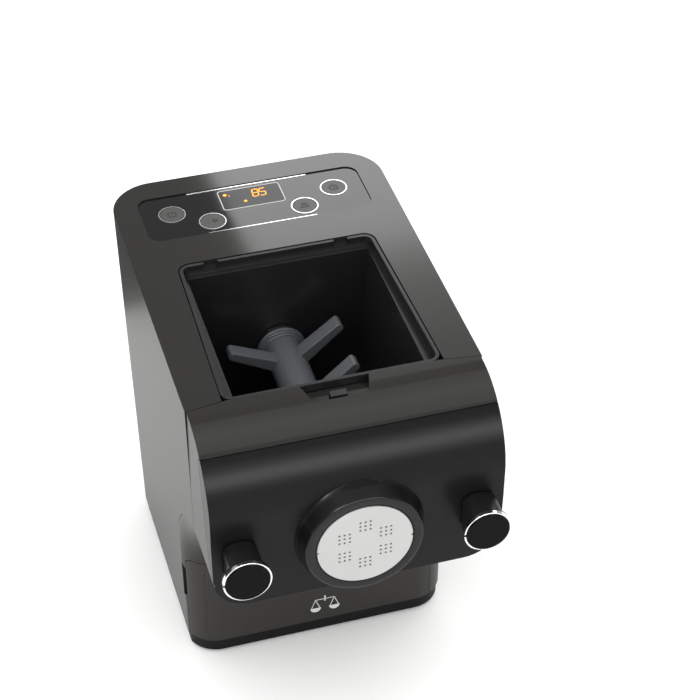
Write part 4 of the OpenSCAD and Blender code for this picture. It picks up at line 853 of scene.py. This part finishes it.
class PASTA_OT_stage(bpy.types.Operator):
    """Sets the floor, the soft studio light and the camera"""
    bl_idname = "pasta_maker.stage"
    bl_label = "Stage"

    FLOOR_HALF = 9
    KEY_SPOT = (-1.3, -0.9, 2.3)
    KEY_TARGET = (0, 0, 0.1)
    KEY_SIZE = 2.2
    # Corners of each card in metres: two along its foot, then two back along its head
    REAR_CARD = [(0.20, 1.5, 1.10), (1.8, 1.5, 1.10), (1.8, 1.5, 1.85), (0.47, 1.5, 1.85)]
    FRONT_CARD = [(-1.2, -2.2, 0.75), (1.6, -2.2, 0.75), (1.6, -2.2, 2.0), (-1.2, -2.2, 2.0)]
    TOP_CARD = [(-1.5, -1.0, 2.4), (2.0, -1.0, 2.4), (2.0, 1.0, 2.4), (-1.5, 1.0, 2.4)]
    LEFT_CARD = [(-1.7, -0.5, 1.9), (-1.0, -1.2, 1.9), (-0.8, -1.0, 2.6), (-1.5, -0.3, 2.6)]
    LEFT_SCREEN = [(-1.2, 0.40, 0), (-0.13, 0.40, 0), (-0.13, 0.40, 0.5), (-1.2, 0.40, 0.5)]
    # How far up the card behind, and the share of its strength there
    REAR_FADE = ((0, 1.7), (0.4, 1.4), (0.46, 0.85), (0.55, 0.52), (0.65, 0.44), (0.75, 0.34),
                 (1, 0.22))
    REAR_EDGE = 0.01    # share of its width over which its left edge fades in
    SCREEN_GLOW = 0.05  # strength of the dark screen

    CAMERA_AZIMUTH = -16.52
    CAMERA_ELEVATION = 39.45
    CAMERA_ROLL = 0.05
    CAMERA_DISTANCE = 1.61072
    CAMERA_TARGET = (0, -0.0187, 0.150)
    CAMERA_RIGHT = 0.03161
    CAMERA_UP = 0.09096
    FOCAL_LENGTH = 108.22
    SENSOR_WIDTH = 36
    VIEW_DEPTH = 50

    def execute(self, context):
        stage = context.scene.pasta_stage
        self.add_floor(stage)
        self.set_world(stage)
        self.add_key(stage)
        self.add_cards(stage)
        self.add_camera()
        return {"FINISHED"}

    def add_floor(self, stage):
        mesh = bpy.data.meshes.new("floor")
        bm = bmesh.new()
        bmesh.ops.create_grid(bm, x_segments=1, y_segments=1, size=self.FLOOR_HALF)
        bm.to_mesh(mesh)
        bm.free()
        floor = link_object("floor", mesh)
        material, tree = new_material("painted_floor")
        place = add_node(tree, "ShaderNodeTexCoord")
        mottle = add_node(tree, "ShaderNodeTexNoise", values={"Scale": 3, "Detail": 2},
                          links={"Vector": (place, "Object")})
        tone = add_node(tree, "ShaderNodeMix", {"data_type": "RGBA"},
                        {6: rgba([c * 0.99 for c in stage.floor]), 7: rgba(stage.floor)},
                        {0: (mottle, "Fac")})
        shader = add_node(tree, "ShaderNodeBsdfPrincipled",
                          values={"Roughness": 0.9, "Specular IOR Level": 0.1},
                          links={"Base Color": (tone, 2)})
        finish_material(tree, shader)
        mesh.materials.append(material)

    def add_card(self, name, corners, strengths, fade_in=0.001):
        """Glowing card that only reflections see; its strength runs from bottom to top.
        The left edge fades in over a share of the width."""
        mesh = bpy.data.meshes.new(name)
        mesh.from_pydata(corners, [], [(0, 1, 2, 3)])
        card = link_object(name, mesh)
        uv = mesh.uv_layers.new(name="card")
        for loop, spot in zip(uv.data, ((0, 0), (1, 0), (1, 1), (0, 1))):
            loop.uv = spot
        material, tree = new_material(f"{name}_cloth")
        place = add_node(tree, "ShaderNodeTexCoord")
        split = add_node(tree, "ShaderNodeSeparateXYZ", links={"Vector": (place, "UV")})
        fade = add_node(tree, "ShaderNodeValToRGB", links={"Fac": (split, "Y")})
        elements = fade.color_ramp.elements
        peak = max(strength for _, strength in strengths)
        tones = [(spot, (strength / peak,) * 3 + (1,)) for spot, strength in strengths]
        elements[0].color, elements[1].color = tones[0][1], tones[-1][1]
        for spot, tone in tones[1:-1]:
            elements.new(spot).color = tone
        edge = add_node(tree, "ShaderNodeMapRange",
                        values={"From Max": fade_in, "To Max": max(peak, 0.001)},
                        links={"Value": (split, "X")})
        glow = add_node(tree, "ShaderNodeEmission",
                        links={"Color": (fade, "Color"), "Strength": (edge, "Result")})
        finish_material(tree, glow, "Emission")
        mesh.materials.append(material)
        card.visible_camera = False
        card.visible_shadow = False
        card.visible_diffuse = False

    def set_world(self, stage):
        """A dark tent with white walls: mirror images see less light than the floor gets."""
        world = bpy.data.worlds.new("studio")
        bpy.context.scene.world = world
        world.use_nodes = True
        tree = world.node_tree
        path = add_node(tree, "ShaderNodeLightPath")
        strength = add_node(tree, "ShaderNodeMapRange",
                            values={"To Min": stage.world, "To Max": stage.sky},
                            links={"Value": (path, "Is Glossy Ray")})
        background = tree.nodes["Background"]
        background.inputs["Color"].default_value = (1, 1, 1, 1)
        tree.links.new(strength.outputs["Result"], background.inputs["Strength"])
        bpy.context.scene.view_settings.view_transform = "Standard"

    def add_key(self, stage):
        key = bpy.data.lights.new("key", "AREA")
        key.shape = "DISK"
        key.size = self.KEY_SIZE
        key.energy = stage.key
        lamp = link_object("key", key)
        lamp.location = self.KEY_SPOT
        aim = Vector(lamp.location) - Vector(self.KEY_TARGET)
        lamp.rotation_euler = aim.to_track_quat("Z", "Y").to_euler()

    def add_cards(self, stage):
        # The card behind stands where the top mirrors it; its left edge leans as the mirrored
        # edge does
        self.add_card("rear_card", self.REAR_CARD,
                      [(spot, share * stage.rear_card) for spot, share in self.REAR_FADE],
                      fade_in=self.REAR_EDGE)
        # The card in front lies behind the camera and lights the panel's roll
        self.add_card("front_card", self.FRONT_CARD, [(0, 0), (0.4, stage.front_card), (1, 0)])
        # The card above is what the hood's curve mirrors
        top = stage.top_card
        self.add_card("top_card", self.TOP_CARD, [(0, top * 0.8), (0.5, top), (1, top * 0.6)])
        # A small card at the upper left draws the bright line along the nose
        self.add_card("left_card", self.LEFT_CARD, [(0, stage.left_card), (1, stage.left_card)])
        # A dark screen behind on the left dims what the upper side mirrors
        self.add_card("left_screen", self.LEFT_SCREEN,
                      [(0, self.SCREEN_GLOW), (1, self.SCREEN_GLOW)])

    def add_camera(self):
        azimuth = math.radians(self.CAMERA_AZIMUTH)
        elevation = math.radians(self.CAMERA_ELEVATION)
        level = math.cos(elevation)
        view = Vector((level * -math.sin(azimuth), level * math.cos(azimuth),
                       -math.sin(elevation)))
        right = Vector((math.cos(azimuth), math.sin(azimuth), 0))
        up = right.cross(view)
        location = (Vector(self.CAMERA_TARGET) - view * self.CAMERA_DISTANCE
                    + right * self.CAMERA_RIGHT + up * self.CAMERA_UP)
        turn = Matrix((right, up, -view)).transposed().to_4x4()
        turn = turn @ Matrix.Rotation(math.radians(self.CAMERA_ROLL), 4, "Z")
        data = bpy.data.cameras.new("camera")
        data.lens = self.FOCAL_LENGTH
        data.sensor_width = self.SENSOR_WIDTH
        data.clip_end = self.VIEW_DEPTH
        camera = link_object("camera", data)
        camera.matrix_world = Matrix.Translation(location) @ turn
        bpy.context.scene.camera = camera


class PASTA_PT_panel(bpy.types.Panel):
    """Lists the steps and settings in the sidebar"""
    bl_idname = "PASTA_PT_panel"
    bl_label = "Pasta maker"
    bl_space_type = "VIEW_3D"
    bl_region_type = "UI"
    bl_category = "Pasta maker"

    def draw(self, context):
        layout = self.layout
        for step in STEPS:
            layout.operator(step.bl_idname)
        scene = context.scene
        for group in (scene.pasta_sizes, scene.pasta_colours, scene.pasta_stage):
            box = layout.box()
            for name in group.__annotations__:
                box.prop(group, name)


GROUPS = (PastaMakerSizes, PastaMakerColours, PastaMakerStage)
STEPS = (PASTA_OT_stage, PASTA_OT_housing, PASTA_OT_controls, PASTA_OT_chamber, PASTA_OT_front,
         PASTA_OT_knobs, PASTA_OT_inside, PASTA_OT_display, PASTA_OT_icons, PASTA_OT_highlight_line)


def register():
    for cls in (*GROUPS, *STEPS, PASTA_PT_panel):
        bpy.utils.register_class(cls)
    bpy.types.Scene.pasta_sizes = PointerProperty(type=PastaMakerSizes)
    bpy.types.Scene.pasta_colours = PointerProperty(type=PastaMakerColours)
    bpy.types.Scene.pasta_stage = PointerProperty(type=PastaMakerStage)


def unregister():
    for name in ("pasta_sizes", "pasta_colours", "pasta_stage"):
        delattr(bpy.types.Scene, name)
    for cls in (PASTA_PT_panel, *reversed(STEPS), *reversed(GROUPS)):
        bpy.utils.unregister_class(cls)


def main():
    register()
    for step in STEPS:
        group, name = step.bl_idname.split(".")
        getattr(getattr(bpy.ops, group), name)()


if __name__ == "__main__":
    main()
